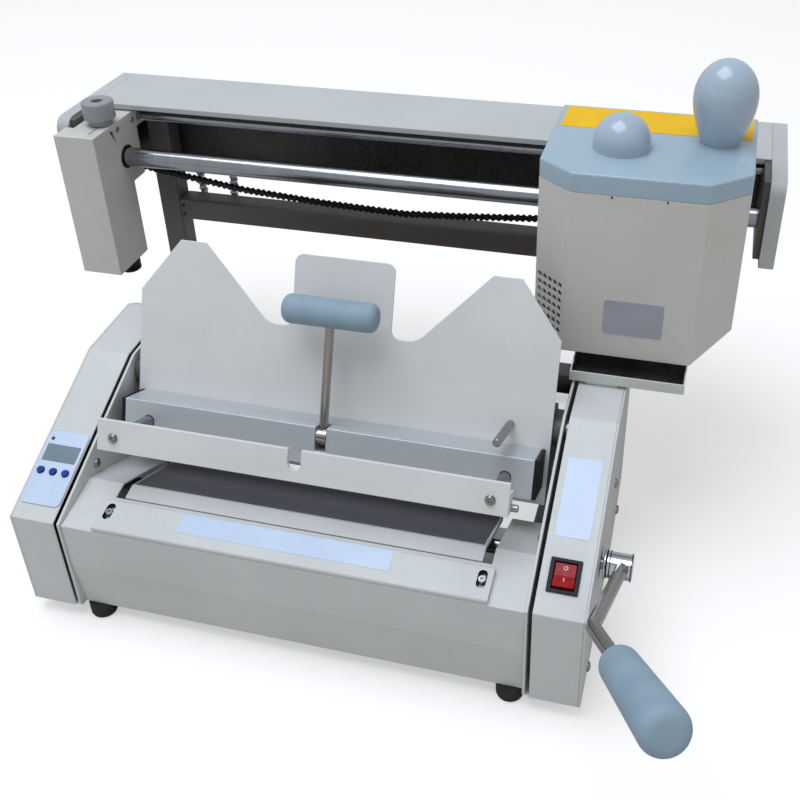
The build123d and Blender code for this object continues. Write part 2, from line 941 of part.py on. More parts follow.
def end_caps():
    cap = block(cap_in, beam_half_length, end_cap_front_y, beam_back_y, end_cap_low, beam_top)
    corner = cap.edges().filter_by(Axis.X).sort_by(lambda edge: edge.center().Z - edge.center().Y)[-1]
    cap = fillet(corner, end_cap_corner)
    cap -= block(
        cap_in,
        beam_half_length - sheet,
        end_cap_front_y + sheet,
        beam_back_y - sheet,
        end_cap_low + sheet,
        beam_top - end_cap_corner,
    )
    return both_sides(cap)


def end_plates():
    plate = block(end_plate_in, cap_in, end_plate_front_y, beam_back_y - sheet, beam_low, beam_under_top)
    for y, z, radius in rod_places():
        plate -= rod((end_plate_in, y, z), (cap_in, y, z), radius)
    return both_sides(plate)


def rod_places():
    return [
        (thick_rod_y, thick_rod_height, thick_rod_radius),
        (thin_rod_y, thin_rod_height, thin_rod_radius),
    ]


def slide_rod(place):
    y, z, radius = place
    return rod((-cap_in, y, z), (cap_in, y, z), radius)


def drive_chain():
    low = wheel_shaft_height - sprocket_radius - chain_thickness / 2 - 2 * sheet
    path = [
        (-end_plate_in, chain_end_height),
        *chain_sag,
        (head_middle, low),
        (end_plate_in, chain_end_height),
    ]
    middle = set_back(path, -chain_thickness / 2)
    front = chain_y - chain_width / 2
    chain = outline_y(bent(middle, chain_thickness), front, front + chain_width)
    return chain & block(-end_plate_in, end_plate_in, front, front + chain_width, 0, beam_top)


def rear_cross_member():
    front = base_depth - cross_member_depth
    low = cross_member_low
    high = cross_member_high
    member = block(-plate_in, plate_in, front, base_depth, low, high)
    return member - block(-plate_in, plate_in, front + sheet, base_depth, low + sheet, high - sheet)


def drip_tray():
    tray = block(tray_left, tray_right, tray_front, tray_back, tray_low, tray_top)
    tray -= block(
        tray_left + tray_floor,
        tray_right - tray_floor,
        tray_front + tray_floor,
        tray_back - tray_floor,
        tray_low + tray_floor,
        tray_top,
    )
    rise = (side_crest_height - side_knee_height) / (side_crest_y - side_knee_y)
    front = side_knee_height + (tray_front + tray_floor - side_knee_y) * rise
    foot = [
        (tray_front + tray_floor, tray_low),
        (side_crest_y, tray_low),
        (side_crest_y, side_crest_height),
        (tray_front + tray_floor, front),
    ]
    middle = (cover_in + panel_in) / 2
    return tray + outline_x(foot, middle - inlet_half_width, middle + inlet_half_width)


def head_body():
    outer = [(x, min(y, head_back)) for x, y in lid_outline]
    inner = set_back(outer, head_wall, closed=True)
    shell = outline_z(outer, head_low, lid_low - seat_gap) - outline_z(inner, head_low, lid_low)
    below = [(right_chamfer_x, head_low), (head_right, head_side_low), (head_right, head_low)]
    shell -= outline_y(below, head_front, head_back)
    hole = wheel_shaft_radius + sheet
    shell -= rod(
        (head_middle, head_back - 2 * head_wall, wheel_shaft_height),
        (head_middle, head_back, wheel_shaft_height),
        hole,
    )
    for side in (-1, 1):
        x = head_middle + side * hinge_x
        lug = block(
            x - hinge_lug_width / 2,
            x + hinge_lug_width / 2,
            head_back,
            lid_axis_y,
            lid_axis_height - 4 * hinge_boss_radius,
            lid_axis_height,
        )
        lug += lid_cylinder(x, hinge_lug_width, hinge_boss_radius)
        shell += lug - lid_cylinder(x, hinge_lug_width, hinge_pin_radius)
    return shell


def lid_cylinder(x, width, radius):
    axis = (lid_axis_y, lid_axis_height)
    return rod((x - width / 2, *axis), (x + width / 2, *axis), radius)


def lid_hinge_pins():
    length = hinge_lug_width + hinge_knuckle_width
    return [
        lid_cylinder(head_middle + side * (hinge_x - hinge_knuckle_width / 2), length, hinge_pin_radius)
        for side in (-1, 1)
    ]


def head_lid():
    """A cap with a rim on three sides and two knuckles at the back."""
    lid = outline_z(lid_outline, lid_low, lid_top)
    inner = [(x, y + 2 * head_wall if y == lid_back else y) for x, y in lid_outline]
    lid -= outline_z(set_back(inner, head_wall, closed=True), lid_low, lid_top - lid_sheet)
    for side in (-1, 1):
        middle = side * (hinge_x - (hinge_lug_width + hinge_knuckle_width) / 2 - seat_gap)
        x = head_middle + middle
        width = hinge_knuckle_width - sheet
        knuckle = lid_cylinder(x, width, hinge_boss_radius)
        knuckle += block(
            x - width / 2,
            x + width / 2,
            lid_axis_y - hinge_boss_radius,
            lid_axis_y + hinge_boss_radius,
            lid_axis_height,
            lid_top - lid_sheet,
        )
        lid += knuckle
        lid -= lid_cylinder(x, width, hinge_pin_radius + running_gap)
    return lid


def push_knob():
    """The egg-shaped knob that pushes and lifts the head."""
    wide = knob_height * knob_widest
    with BuildLine() as side:
        Line((0, 0), (knob_neck_radius, 0))
        Spline(
            (knob_neck_radius, 0),
            (knob_radius, wide),
            (0, knob_height),
            tangents=((0.45, 1), (-1, 0)),
        )
        Line((0, knob_height), (0, 0))
    return Pos(knob_x, knob_y, lid_top) * revolve(Plane.XZ * make_face(side.line), Axis.Z)


def dome_cap():
    collar = rod((dome_x, dome_y, lid_top), (dome_x, dome_y, lid_top + dome_collar), dome_radius)
    half_ball = Sphere(dome_radius, arc_size1=0, align=(Align.CENTER, Align.CENTER, Align.MIN))
    ball = Pos(dome_x, dome_y, lid_top + dome_collar) * half_ball
    return collar + ball


def head_carriage():
    low = thick_rod_height + housing_half
    high = low + carriage_thickness
    back = upright_front_y - carriage_back_gap
    left = head_left + housing_inset
    right = head_right - housing_inset
    carriage = block(left, right, head_back, back, low, high)
    carriage += block(left, right, head_back, head_back + carriage_thickness, high, low + carriage_flange)
    block_top = beam_top - beam_lip - thin_block_top_gap
    for start in (left, right - housing_length):
        end = start + housing_length
        front = thick_rod_y - housing_half
        carriage += block(
            start, end, front, thick_rod_y + housing_half, thick_rod_height - housing_half, low
        )
        carriage += block(start, end, thin_rod_y - thin_block_half, back, high, block_top)
        carriage -= rod(
            (start, thick_rod_y, thick_rod_height), (end, thick_rod_y, thick_rod_height), bush_outer_radius()
        )
        carriage -= rod(
            (start, thin_rod_y, thin_rod_height),
            (end, thin_rod_y, thin_rod_height),
            thin_rod_radius + 2 * running_gap,
        )
    return carriage


def bush_outer_radius():
    return thick_rod_radius + running_gap + bush_wall


def rod_bushes():
    left = head_left + housing_inset
    right = head_right - housing_inset
    bushes = []
    for x in (left, right - housing_length):
        start, end = [(along, thick_rod_y, thick_rod_height) for along in (x, x + housing_length)]
        bushes.append(rod(start, end, bush_outer_radius()) - rod(start, end, thick_rod_radius + running_gap))
    return bushes


def glue_tank():
    """A heated trough with a slot in its floor and a bearing ear at each end."""
    left = head_middle - tank_half_width
    right = head_middle + tank_half_width
    front = wheel_y - tank_half_depth
    back = wheel_y + tank_half_depth
    tank = block(left, right, front, back, tank_low, tank_ear_top)
    ear_half = 3 * wheel_shaft_radius
    for low_x, high_x in ((left, head_middle - ear_half), (head_middle + ear_half, right)):
        tank -= block(low_x, high_x, front, back, tank_rim, tank_ear_top)
    tank -= block(
        left + tank_side,
        right - tank_side,
        front + tank_wall,
        back - tank_wall,
        tank_low + tank_wall,
        tank_ear_top,
    )
    slot_half = wheel_width / 2 + sheet
    tank -= block(
        left + 2 * tank_side,
        right - 2 * tank_side,
        wheel_y - slot_half,
        wheel_y + slot_half,
        tank_low,
        tank_low + tank_wall,
    )
    for x in (left, right - arm_width):
        tank += block(x, x + arm_width, back, head_back - head_wall, head_side_low + sheet, tank_rim)
    tank -= rod(
        (head_middle, front, wheel_shaft_height),
        (head_middle, back, wheel_shaft_height),
        wheel_shaft_radius + running_gap,
    )
    for x in heater_places():
        tank -= rod((x, front, heater_height), (x, back, heater_height), heater_radius)
    return tank


def heater_places():
    return [head_middle + side * (tank_half_width - tank_side / 2) for side in (-1, 1)]


def heater_cartridges():
    front = wheel_y - tank_half_depth - sheet
    back = wheel_y + tank_half_depth
    return [rod((x, front, heater_height), (x, back, heater_height), heater_radius) for x in heater_places()]


def glue_wheel():
    half = wheel_width / 2
    start, end = [(head_middle, wheel_y + reach, wheel_shaft_height) for reach in (-half, half)]
    return rod(start, end, wheel_radius) - rod(start, end, wheel_shaft_radius)


def wheel_shaft():
    """The shaft through the tank's ears, with the sprocket at its rear end."""
    front = wheel_y - tank_half_depth - sheet
    back = chain_y + chain_width / 2
    start, end = [(head_middle, y, wheel_shaft_height) for y in (front, back)]
    shaft = rod(start, end, wheel_shaft_radius)
    points = []
    for index in range(2 * sprocket_teeth):
        angle = math.pi * index / sprocket_teeth
        radius = sprocket_radius if index % 2 == 0 else sprocket_radius * sprocket_root
        points.append((head_middle + radius * math.sin(angle), wheel_shaft_height + radius * math.cos(angle)))
    return shaft + outline_y(points, chain_y - chain_width / 2, back)


def notcher_body():
    wall = notcher_wall
    left = notcher_left
    rear_left = notcher_rear_left
    right = notcher_right
    body = block(left, right, notcher_front, notcher_waist_y, notcher_low, notcher_top)
    body += block(left, right, notcher_waist_y, notcher_back, notcher_low, notcher_low_part_top)
    body += block(rear_left, right, notcher_waist_y, notcher_rear_back, notcher_rear_low, notcher_top)
    body += block(rear_left, right, notcher_waist_y, notcher_back, notcher_low_part_top, notcher_rear_low)
    body += block(rear_left, right, notcher_rear_back, fork_back, fork_low, notcher_top)
    body -= block(
        left + wall,
        right - wall,
        notcher_front + wall,
        notcher_waist_y - wall,
        notcher_low,
        notcher_top - wall,
    )
    body -= block(
        notcher_left + wall,
        notcher_right - wall,
        notcher_waist_y - wall,
        notcher_back - wall,
        notcher_low,
        notcher_low_part_top - wall,
    )
    body -= block(
        notcher_rear_left + wall,
        notcher_right - wall,
        notcher_waist_y - wall,
        notcher_rear_back - wall,
        notcher_rear_low + wall,
        notcher_top - wall,
    )
    start, end = [(x, thick_rod_y, thick_rod_height) for x in (rear_left, right)]
    body += rod(start, end, notcher_bush_outer)
    body -= rod(start, end, thick_rod_radius + running_gap)
    body -= rod(
        (notcher_rear_left, thin_rod_y, thin_rod_height),
        (notcher_right, thin_rod_y, thin_rod_height),
        thin_rod_radius + 2 * running_gap,
    )
    hole = spindle_radius + running_gap
    low = notcher_low_part_top - wall
    return body - rod((cutter_x, cutter_y, low), (cutter_x, cutter_y, notcher_top), hole)


def notcher_cutter():
    """The cutter disc under the column, on its spindle up to the knob."""
    low = notcher_low - seat_gap - cutter_height
    cutter = rod((cutter_x, cutter_y, low), (cutter_x, cutter_y, low + cutter_height), cutter_radius)
    top = notcher_top + spindle_gap + knob_disc_height
    return cutter + rod((cutter_x, cutter_y, low), (cutter_x, cutter_y, top), spindle_radius)


def notcher_knob():
    hub = (cutter_x, cutter_y, notcher_top + knob_hub_gap)
    low = (cutter_x, cutter_y, notcher_top + spindle_gap)
    top = (cutter_x, cutter_y, notcher_top + spindle_gap + knob_disc_height)
    knob = rod(low, top, knob_disc_radius)
    rim = knob.edges().filter_by(GeomType.CIRCLE).group_by(Axis.Z)[-1]
    knob = fillet(rim, knob_disc_round) + rod(hub, low, knob_hub_radius)
    return knob - rod(hub, top, spindle_radius)


def panel_middle():
    return -(cover_in + panel_in) / 2


def control_panel():
    left = panel_middle() - panel_half_width
    panel = block(left, left + 2 * panel_half_width, panel_start, panel_end, 0, panel_thickness)
    panel = fillet(panel.edges().filter_by(Axis.Z), panel_corner)
    panel -= display_block(0)
    for x in button_places():
        panel -= rod((x, button_s, 0), (x, button_s, panel_thickness), button_radius + seat_gap)
    return slope_place(panel)


def display_block(low):
    middle = panel_middle()
    half = display_half_width
    return block(middle - half, middle + half, display_start, display_end, low, panel_thickness)


def push_button(x):
    low = (x, button_s, -button_depth)
    high = (x, button_s, panel_thickness + button_height)
    button = rod(low, high, button_radius)
    return slope_place(fillet(button.edges().sort_by(Axis.Z)[-1], button_round))


def rocker_bezel():
    bezel = block(
        rocker_x - bezel_half_width,
        rocker_x + bezel_half_width,
        rocker_s - bezel_half_length,
        rocker_s + bezel_half_length,
        0,
        bezel_thickness,
    )
    bezel += block(
        rocker_x - bezel_body_half_width,
        rocker_x + bezel_body_half_width,
        rocker_s - bezel_body_half_length,
        rocker_s + bezel_body_half_length,
        -bezel_body_depth,
        0,
    )
    cavity_x = rocker_half_width + rocker_side_gap
    cavity_s = rocker_half_length + rocker_end_gap
    bezel -= block(
        rocker_x - cavity_x,
        rocker_x + cavity_x,
        rocker_s - cavity_s,
        rocker_s + cavity_s,
        -bezel_body_depth + sheet,
        bezel_thickness,
    )
    return slope_place(bezel)


def rocker():
    """A rocker with a shallow V face, held on its axle, resting with the O end down."""
    half = rocker_half_length
    pivot = -rocker_pivot_depth
    low = pivot - rocker_skirt
    face = [(-half, low), (half, low), (half, bezel_thickness), (0, rocker_dip), (-half, bezel_thickness)]
    key = outline_x(face, rocker_x - rocker_half_width, rocker_x + rocker_half_width)
    axle = rocker_half_width + rocker_side_gap
    key += rod((rocker_x - axle, 0, pivot), (rocker_x + axle, 0, pivot), rocker_axle_radius)
    turned = Pos(0, 0, pivot) * Rot(-rocker_angle, 0, 0) * Pos(0, 0, -pivot) * key
    return slope_place(Pos(0, rocker_s, 0) * turned)


def controller_board():
    board_x = -panel_in + board_standoff
    back = board_front + board_length
    top = board_low + board_height
    board = block(board_x, board_x + board_thickness, board_front, back, board_low, top)
    for y in (board_front + pillar_inset, back - pillar_inset):
        for z in (board_low + pillar_inset, top - pillar_inset):
            board += rod((-panel_in, y, z), (board_x, y, z), pillar_radius)
    return board


def power_inlet():
    middle = (cover_in + panel_in) / 2
    body = block(
        middle - inlet_half_width,
        middle + inlet_half_width,
        base_depth - inlet_depth,
        base_depth + sheet,
        inlet_low,
        inlet_low + inlet_height,
    )
    socket = block(
        middle - inlet_half_width + 2 * sheet,
        middle + inlet_half_width - 2 * sheet,
        base_depth - inlet_depth + 2 * sheet,
        base_depth + sheet,
        inlet_low + 2 * sheet,
        inlet_low + inlet_height - 2 * sheet,
    )
    return body - socket


def cable_harness():
    """The wrapped lead: along the beam, down through its floor, under the cross tube and back."""
    route = [
        (-end_plate_in, lead_y, lead_high),
        (lead_left_x, lead_y, lead_high),
        (lead_left_x, lead_y, lead_low),
        (lead_right_x, lead_y, lead_low),
        (lead_right_x, lead_y, lead_high),
        (end_plate_in, lead_y, lead_high),
    ]
    path = FilletPolyline(*route, radius=lead_bend)
    lead = sweep(Plane(origin=route[0], z_dir=(1, 0, 0)) * Circle(lead_radius), path=path)
    print("lead length", round(path.length), "bend radius", lead_bend)
    return lead


def lead_clips():
    """Two blocks on the cross tube that hold the lead's legs."""
    low = cross_tube_low + tube / 2 - clip_half_height
    high = low + 2 * clip_half_height
    return [
        block(x - lead_radius, x + lead_radius, rear_y, lead_y - lead_radius, low, high)
        for x in (lead_left_x, lead_right_x)
    ]


def cover_screws():
    """Pan-head screws on both outer panels and on the inner plates."""
    screws = []
    for y, z in panel_screws:
        head = rod((half_base, y, z), (half_base + screw_head_height, y, z), screw_head_radius)
        screws += both_sides(head)
    y, z = inner_plate_screw
    head = rod((plate_in - screw_head_height, y, z), (plate_in, y, z), screw_head_radius)
    return screws + both_sides(head)


save("base_pan", base_pan())
save("rubber_feet", *rubber_feet())
save("base_front_cover", base_front_cover())
save("inner_plates", *both_sides(inner_plate()))
save("side_covers", left_side_cover(), right_side_cover())
save("side_panels", mirror(side_panel(), about=Plane.YZ), right_side_panel())
save("rear_cross_member", rear_cross_member())
save("base_rails", *side_rails(), rear_rail())
save("uprights", upright(-left_upright_x), upright(rail_x))
save("cross_tube", cross_tube())
save("main_beam", main_beam())
save("beam_cover", beam_cover())
save("end_caps", *end_caps())
save("end_plates", *end_plates())
save("slide_rods", *[slide_rod(place) for place in rod_places()])
save("drive_chain", drive_chain())
save("drip_tray", drip_tray())
save("table_bridge", table_bridge())
save("shaft_bearings", *shaft_bearings())
save("pivot_pins", *pivot_pins())
save("control_panel", control_panel())
save("display_window", slope_place(display_block(0)))
save("rocker_bezel", rocker_bezel())
save("controller_board", controller_board())
save("power_inlet", power_inlet())
save("cable_harness", cable_harness())
save("cover_screws", *cover_screws(), *gauge_screws(), *lead_clips())
save("head_body", head_body())
save("head_carriage", head_carriage())
save("rod_bushes", *rod_bushes())
save("glue_tank", glue_tank())
save("heater_cartridges", *heater_cartridges())
save("lid_hinge_pins", *lid_hinge_pins())
save("head_lid", head_lid())
save("push_knob", push_knob())
save("dome_cap", dome_cap())
save("glue_wheel", glue_wheel())
save("wheel_shaft", wheel_shaft())
save("notcher_body", notcher_body())
save("notcher_cutter", notcher_cutter())
save("notcher_knob", notcher_knob())
save("back_plate", back_plate())
save("front_bar", front_bar())
save("guide_rods", *guide_rods())
save("clamp_pins", *clamp_pins())
save("clamp_cheeks", *clamp_cheeks())
save("clamp_bar", clamp_bar())
save("clamp_bar_caps", *clamp_bar_caps())
save("lever_arm", lever_arm())
save("lever_grip", lever_grip())
save("crank_arm", crank_arm())
save("crank_grip", crank_grip())
save("cam_shaft", cam_shaft_pieces())
save("press_table", press_table())
save("table_insert", table_insert())
save("gauge_plate", gauge_plate())
save("rocker", rocker())
for number, place in enumerate(button_places(), start=1):
    save(f"button_{number}", push_button(place))

os.makedirs("parts", exist_ok=True)
export_all()
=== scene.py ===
import bpy
import bmesh
import json
import math
from mathutils import Matrix, Vector

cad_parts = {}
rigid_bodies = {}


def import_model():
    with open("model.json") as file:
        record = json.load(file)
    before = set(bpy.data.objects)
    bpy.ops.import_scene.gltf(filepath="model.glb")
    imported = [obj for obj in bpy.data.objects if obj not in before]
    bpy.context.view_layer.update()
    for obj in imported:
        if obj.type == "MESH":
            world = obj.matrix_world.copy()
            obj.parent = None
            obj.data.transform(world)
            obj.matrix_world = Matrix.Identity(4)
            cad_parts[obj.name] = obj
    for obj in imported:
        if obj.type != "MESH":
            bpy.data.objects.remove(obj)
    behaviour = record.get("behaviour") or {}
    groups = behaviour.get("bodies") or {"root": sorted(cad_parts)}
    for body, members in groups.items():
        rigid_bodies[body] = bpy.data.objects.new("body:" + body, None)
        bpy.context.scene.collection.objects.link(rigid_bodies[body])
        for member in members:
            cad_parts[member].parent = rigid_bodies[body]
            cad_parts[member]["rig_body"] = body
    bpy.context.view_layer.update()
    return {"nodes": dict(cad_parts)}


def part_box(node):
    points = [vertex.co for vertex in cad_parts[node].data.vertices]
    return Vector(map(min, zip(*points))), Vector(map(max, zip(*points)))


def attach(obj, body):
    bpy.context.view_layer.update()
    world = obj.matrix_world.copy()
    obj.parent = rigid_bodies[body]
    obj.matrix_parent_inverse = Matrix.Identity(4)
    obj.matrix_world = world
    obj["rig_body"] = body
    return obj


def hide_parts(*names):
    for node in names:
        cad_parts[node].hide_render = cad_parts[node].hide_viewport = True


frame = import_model()
nodes = frame["nodes"]
print("frame loaded")

mm = 0.001
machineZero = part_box("inner_plates")[0].y  # the side boxes' front faces
machinePlace = Matrix.Translation((0, machineZero, 0)) @ Matrix.Scale(mm, 4)
# planes that pieces lie on: a point in mm and the lean about X in degrees
planes = {
    "slope": ((0, 0, 114.7), 24.228),
    "gauge": ((0, 1.7, 112.4), 11.812),
    "clamp": ((0, 47.732, 166.602), -22.5),
}
slopePlace, gaugePlace, clampPlace = (
    machinePlace @ Matrix.Translation(point) @ Matrix.Rotation(math.radians(lean), 4, "X")
    for point, lean in planes.values())

# camera at the photograph's viewpoint, fitted to the machine's edges
viewpoint = {
    "place": (299.96, -564.77, 741.97),
    "yaw": -15.687,
    "pitch": 33.579,
    "roll": -1.318,
    "focalPixels": 1063.23,
    "centrePixel": (440.85, 345.87),
    "frameSide": 800,
    "sensor": 36.0,
}


def makeCamera(view):
    yaw, pitch, roll = (math.radians(view[key]) for key in ("yaw", "pitch", "roll"))
    forward = Vector((math.sin(yaw) * math.cos(pitch), math.cos(yaw) * math.cos(pitch), -math.sin(pitch)))
    right = Vector((math.cos(yaw), -math.sin(yaw), 0))
    up = right.cross(forward)
    rolledRight = right * math.cos(roll) + up * math.sin(roll)
    rolledUp = up * math.cos(roll) - right * math.sin(roll)
    data = bpy.data.cameras.new("photoCamera")
    camera = bpy.data.objects.new("photoCamera", data)
    bpy.context.scene.collection.objects.link(camera)
    turn = Matrix((rolledRight, rolledUp, -forward)).transposed().to_4x4()
    camera.matrix_world = Matrix.Translation(machinePlace @ Vector(view["place"])) @ turn
    side = view["frameSide"]
    data.sensor_width = view["sensor"]
    data.lens = view["focalPixels"] * view["sensor"] / side
    data.shift_x = (side / 2 - view["centrePixel"][0]) / side
    data.shift_y = (view["centrePixel"][1] - side / 2) / side
    data.clip_start = 0.01
    data.clip_end = 50
    bpy.context.scene.camera = camera


makeCamera(viewpoint)


# finishes: each starts from what the real surface is
noiseSpan = (0.35, 0.65)  # nearly all of a noise texture's values
fleckSpan = (0.56, 0.7)  # its few highest values, which make flecks
edgeSpan = (0.52, 0.6)  # pointiness of an outer edge
bumpShare = 0.3  # a grain's height as a share of its width


def linearColour(hexColour):
    parts = [int(hexColour[i:i + 2], 16) / 255 for i in (1, 3, 5)]
    return [part / 12.92 if part <= 0.04045 else ((part + 0.055) / 1.055) ** 2.4 for part in parts] + [1.0]


def addNode(tree, kind, settings=None, inputs=None):
    node = tree.nodes.new("ShaderNode" + kind)
    for name, value in (settings or {}).items():
        setattr(node, name, value)
    for name, value in (inputs or {}).items():
        if isinstance(value, bpy.types.NodeSocket):
            tree.links.new(value, node.inputs[name])
        else:
            node.inputs[name].default_value = value
    return node


def newFinish(name, look):
    material = bpy.data.materials.new(name)
    material.use_nodes = True
    tree = material.node_tree
    shader = tree.nodes["Principled BSDF"]
    shader.inputs["Metallic"].default_value = look.get("metallic", 0.0)
    for socket in ("Coat Weight", "Coat Roughness", "Specular IOR Level"):
        if socket in look:
            shader.inputs[socket].default_value = look[socket]
    point = addNode(tree, "TexCoord").outputs["Object"]
    if "stretch" in look:
        point = addNode(tree, "Mapping", inputs={
            "Vector": point, "Scale": look["stretch"]}).outputs["Vector"]
    broad = addNode(tree, "TexNoise", inputs={
        "Vector": point, "Scale": 1 / (look["patchMm"] * mm), "Detail": 3.0, "Roughness": 0.55})
    fine = addNode(tree, "TexNoise", inputs={
        "Vector": point, "Scale": 1 / (look["grainMm"] * mm), "Detail": 2.0, "Roughness": 0.6})
    spread = addNode(tree, "MapRange", inputs={
        "Value": broad.outputs["Fac"], "From Min": noiseSpan[0], "From Max": noiseSpan[1]})
    # a colour mix takes its two colours at sockets 6 and 7 and gives the result at output 2
    tone = addNode(tree, "Mix", {"data_type": "RGBA"}, {
        "Factor": spread.outputs["Result"], 6: linearColour(look["tint"]), 7: linearColour(look["shade"])})
    speck = addNode(tree, "MapRange", inputs={
        "Value": fine.outputs["Fac"], "From Min": fleckSpan[0], "From Max": fleckSpan[1],
        "To Max": look.get("speckle", 0.0)})
    fleck = linearColour(look.get("fleck", look["shade"]))
    colour = addNode(tree, "Mix", {"data_type": "RGBA"}, {
        "Factor": speck.outputs["Result"], 6: tone.outputs[2], 7: fleck})
    result = colour.outputs[2]
    # outer edges are lightened here: partly the coat's real edge scuffing, partly a painted highlight where
    # rounded edges catch light
    if "worn" in look:
        edge = addNode(tree, "NewGeometry").outputs["Pointiness"]
        wearAndHighlight = addNode(tree, "MapRange", inputs={
            "Value": edge, "From Min": edgeSpan[0], "From Max": edgeSpan[1], "To Max": look["wear"]})
        result = addNode(tree, "Mix", {"data_type": "RGBA"}, {
            "Factor": wearAndHighlight.outputs["Result"], 6: result, 7: linearColour(look["worn"])}).outputs[2]
    tree.links.new(result, shader.inputs["Base Color"])
    low, high = look["roughness"]
    rough = addNode(tree, "MapRange", inputs={
        "Value": fine.outputs["Fac"], "From Min": noiseSpan[0], "From Max": noiseSpan[1],
        "To Min": low, "To Max": high})
    tree.links.new(rough.outputs["Result"], shader.inputs["Roughness"])
    bump = addNode(tree, "Bump", inputs={
        "Height": fine.outputs["Fac"], "Strength": look["bump"],
        "Distance": look["grainMm"] * mm * bumpShare})
    tree.links.new(bump.outputs["Normal"], shader.inputs["Normal"])
    return material


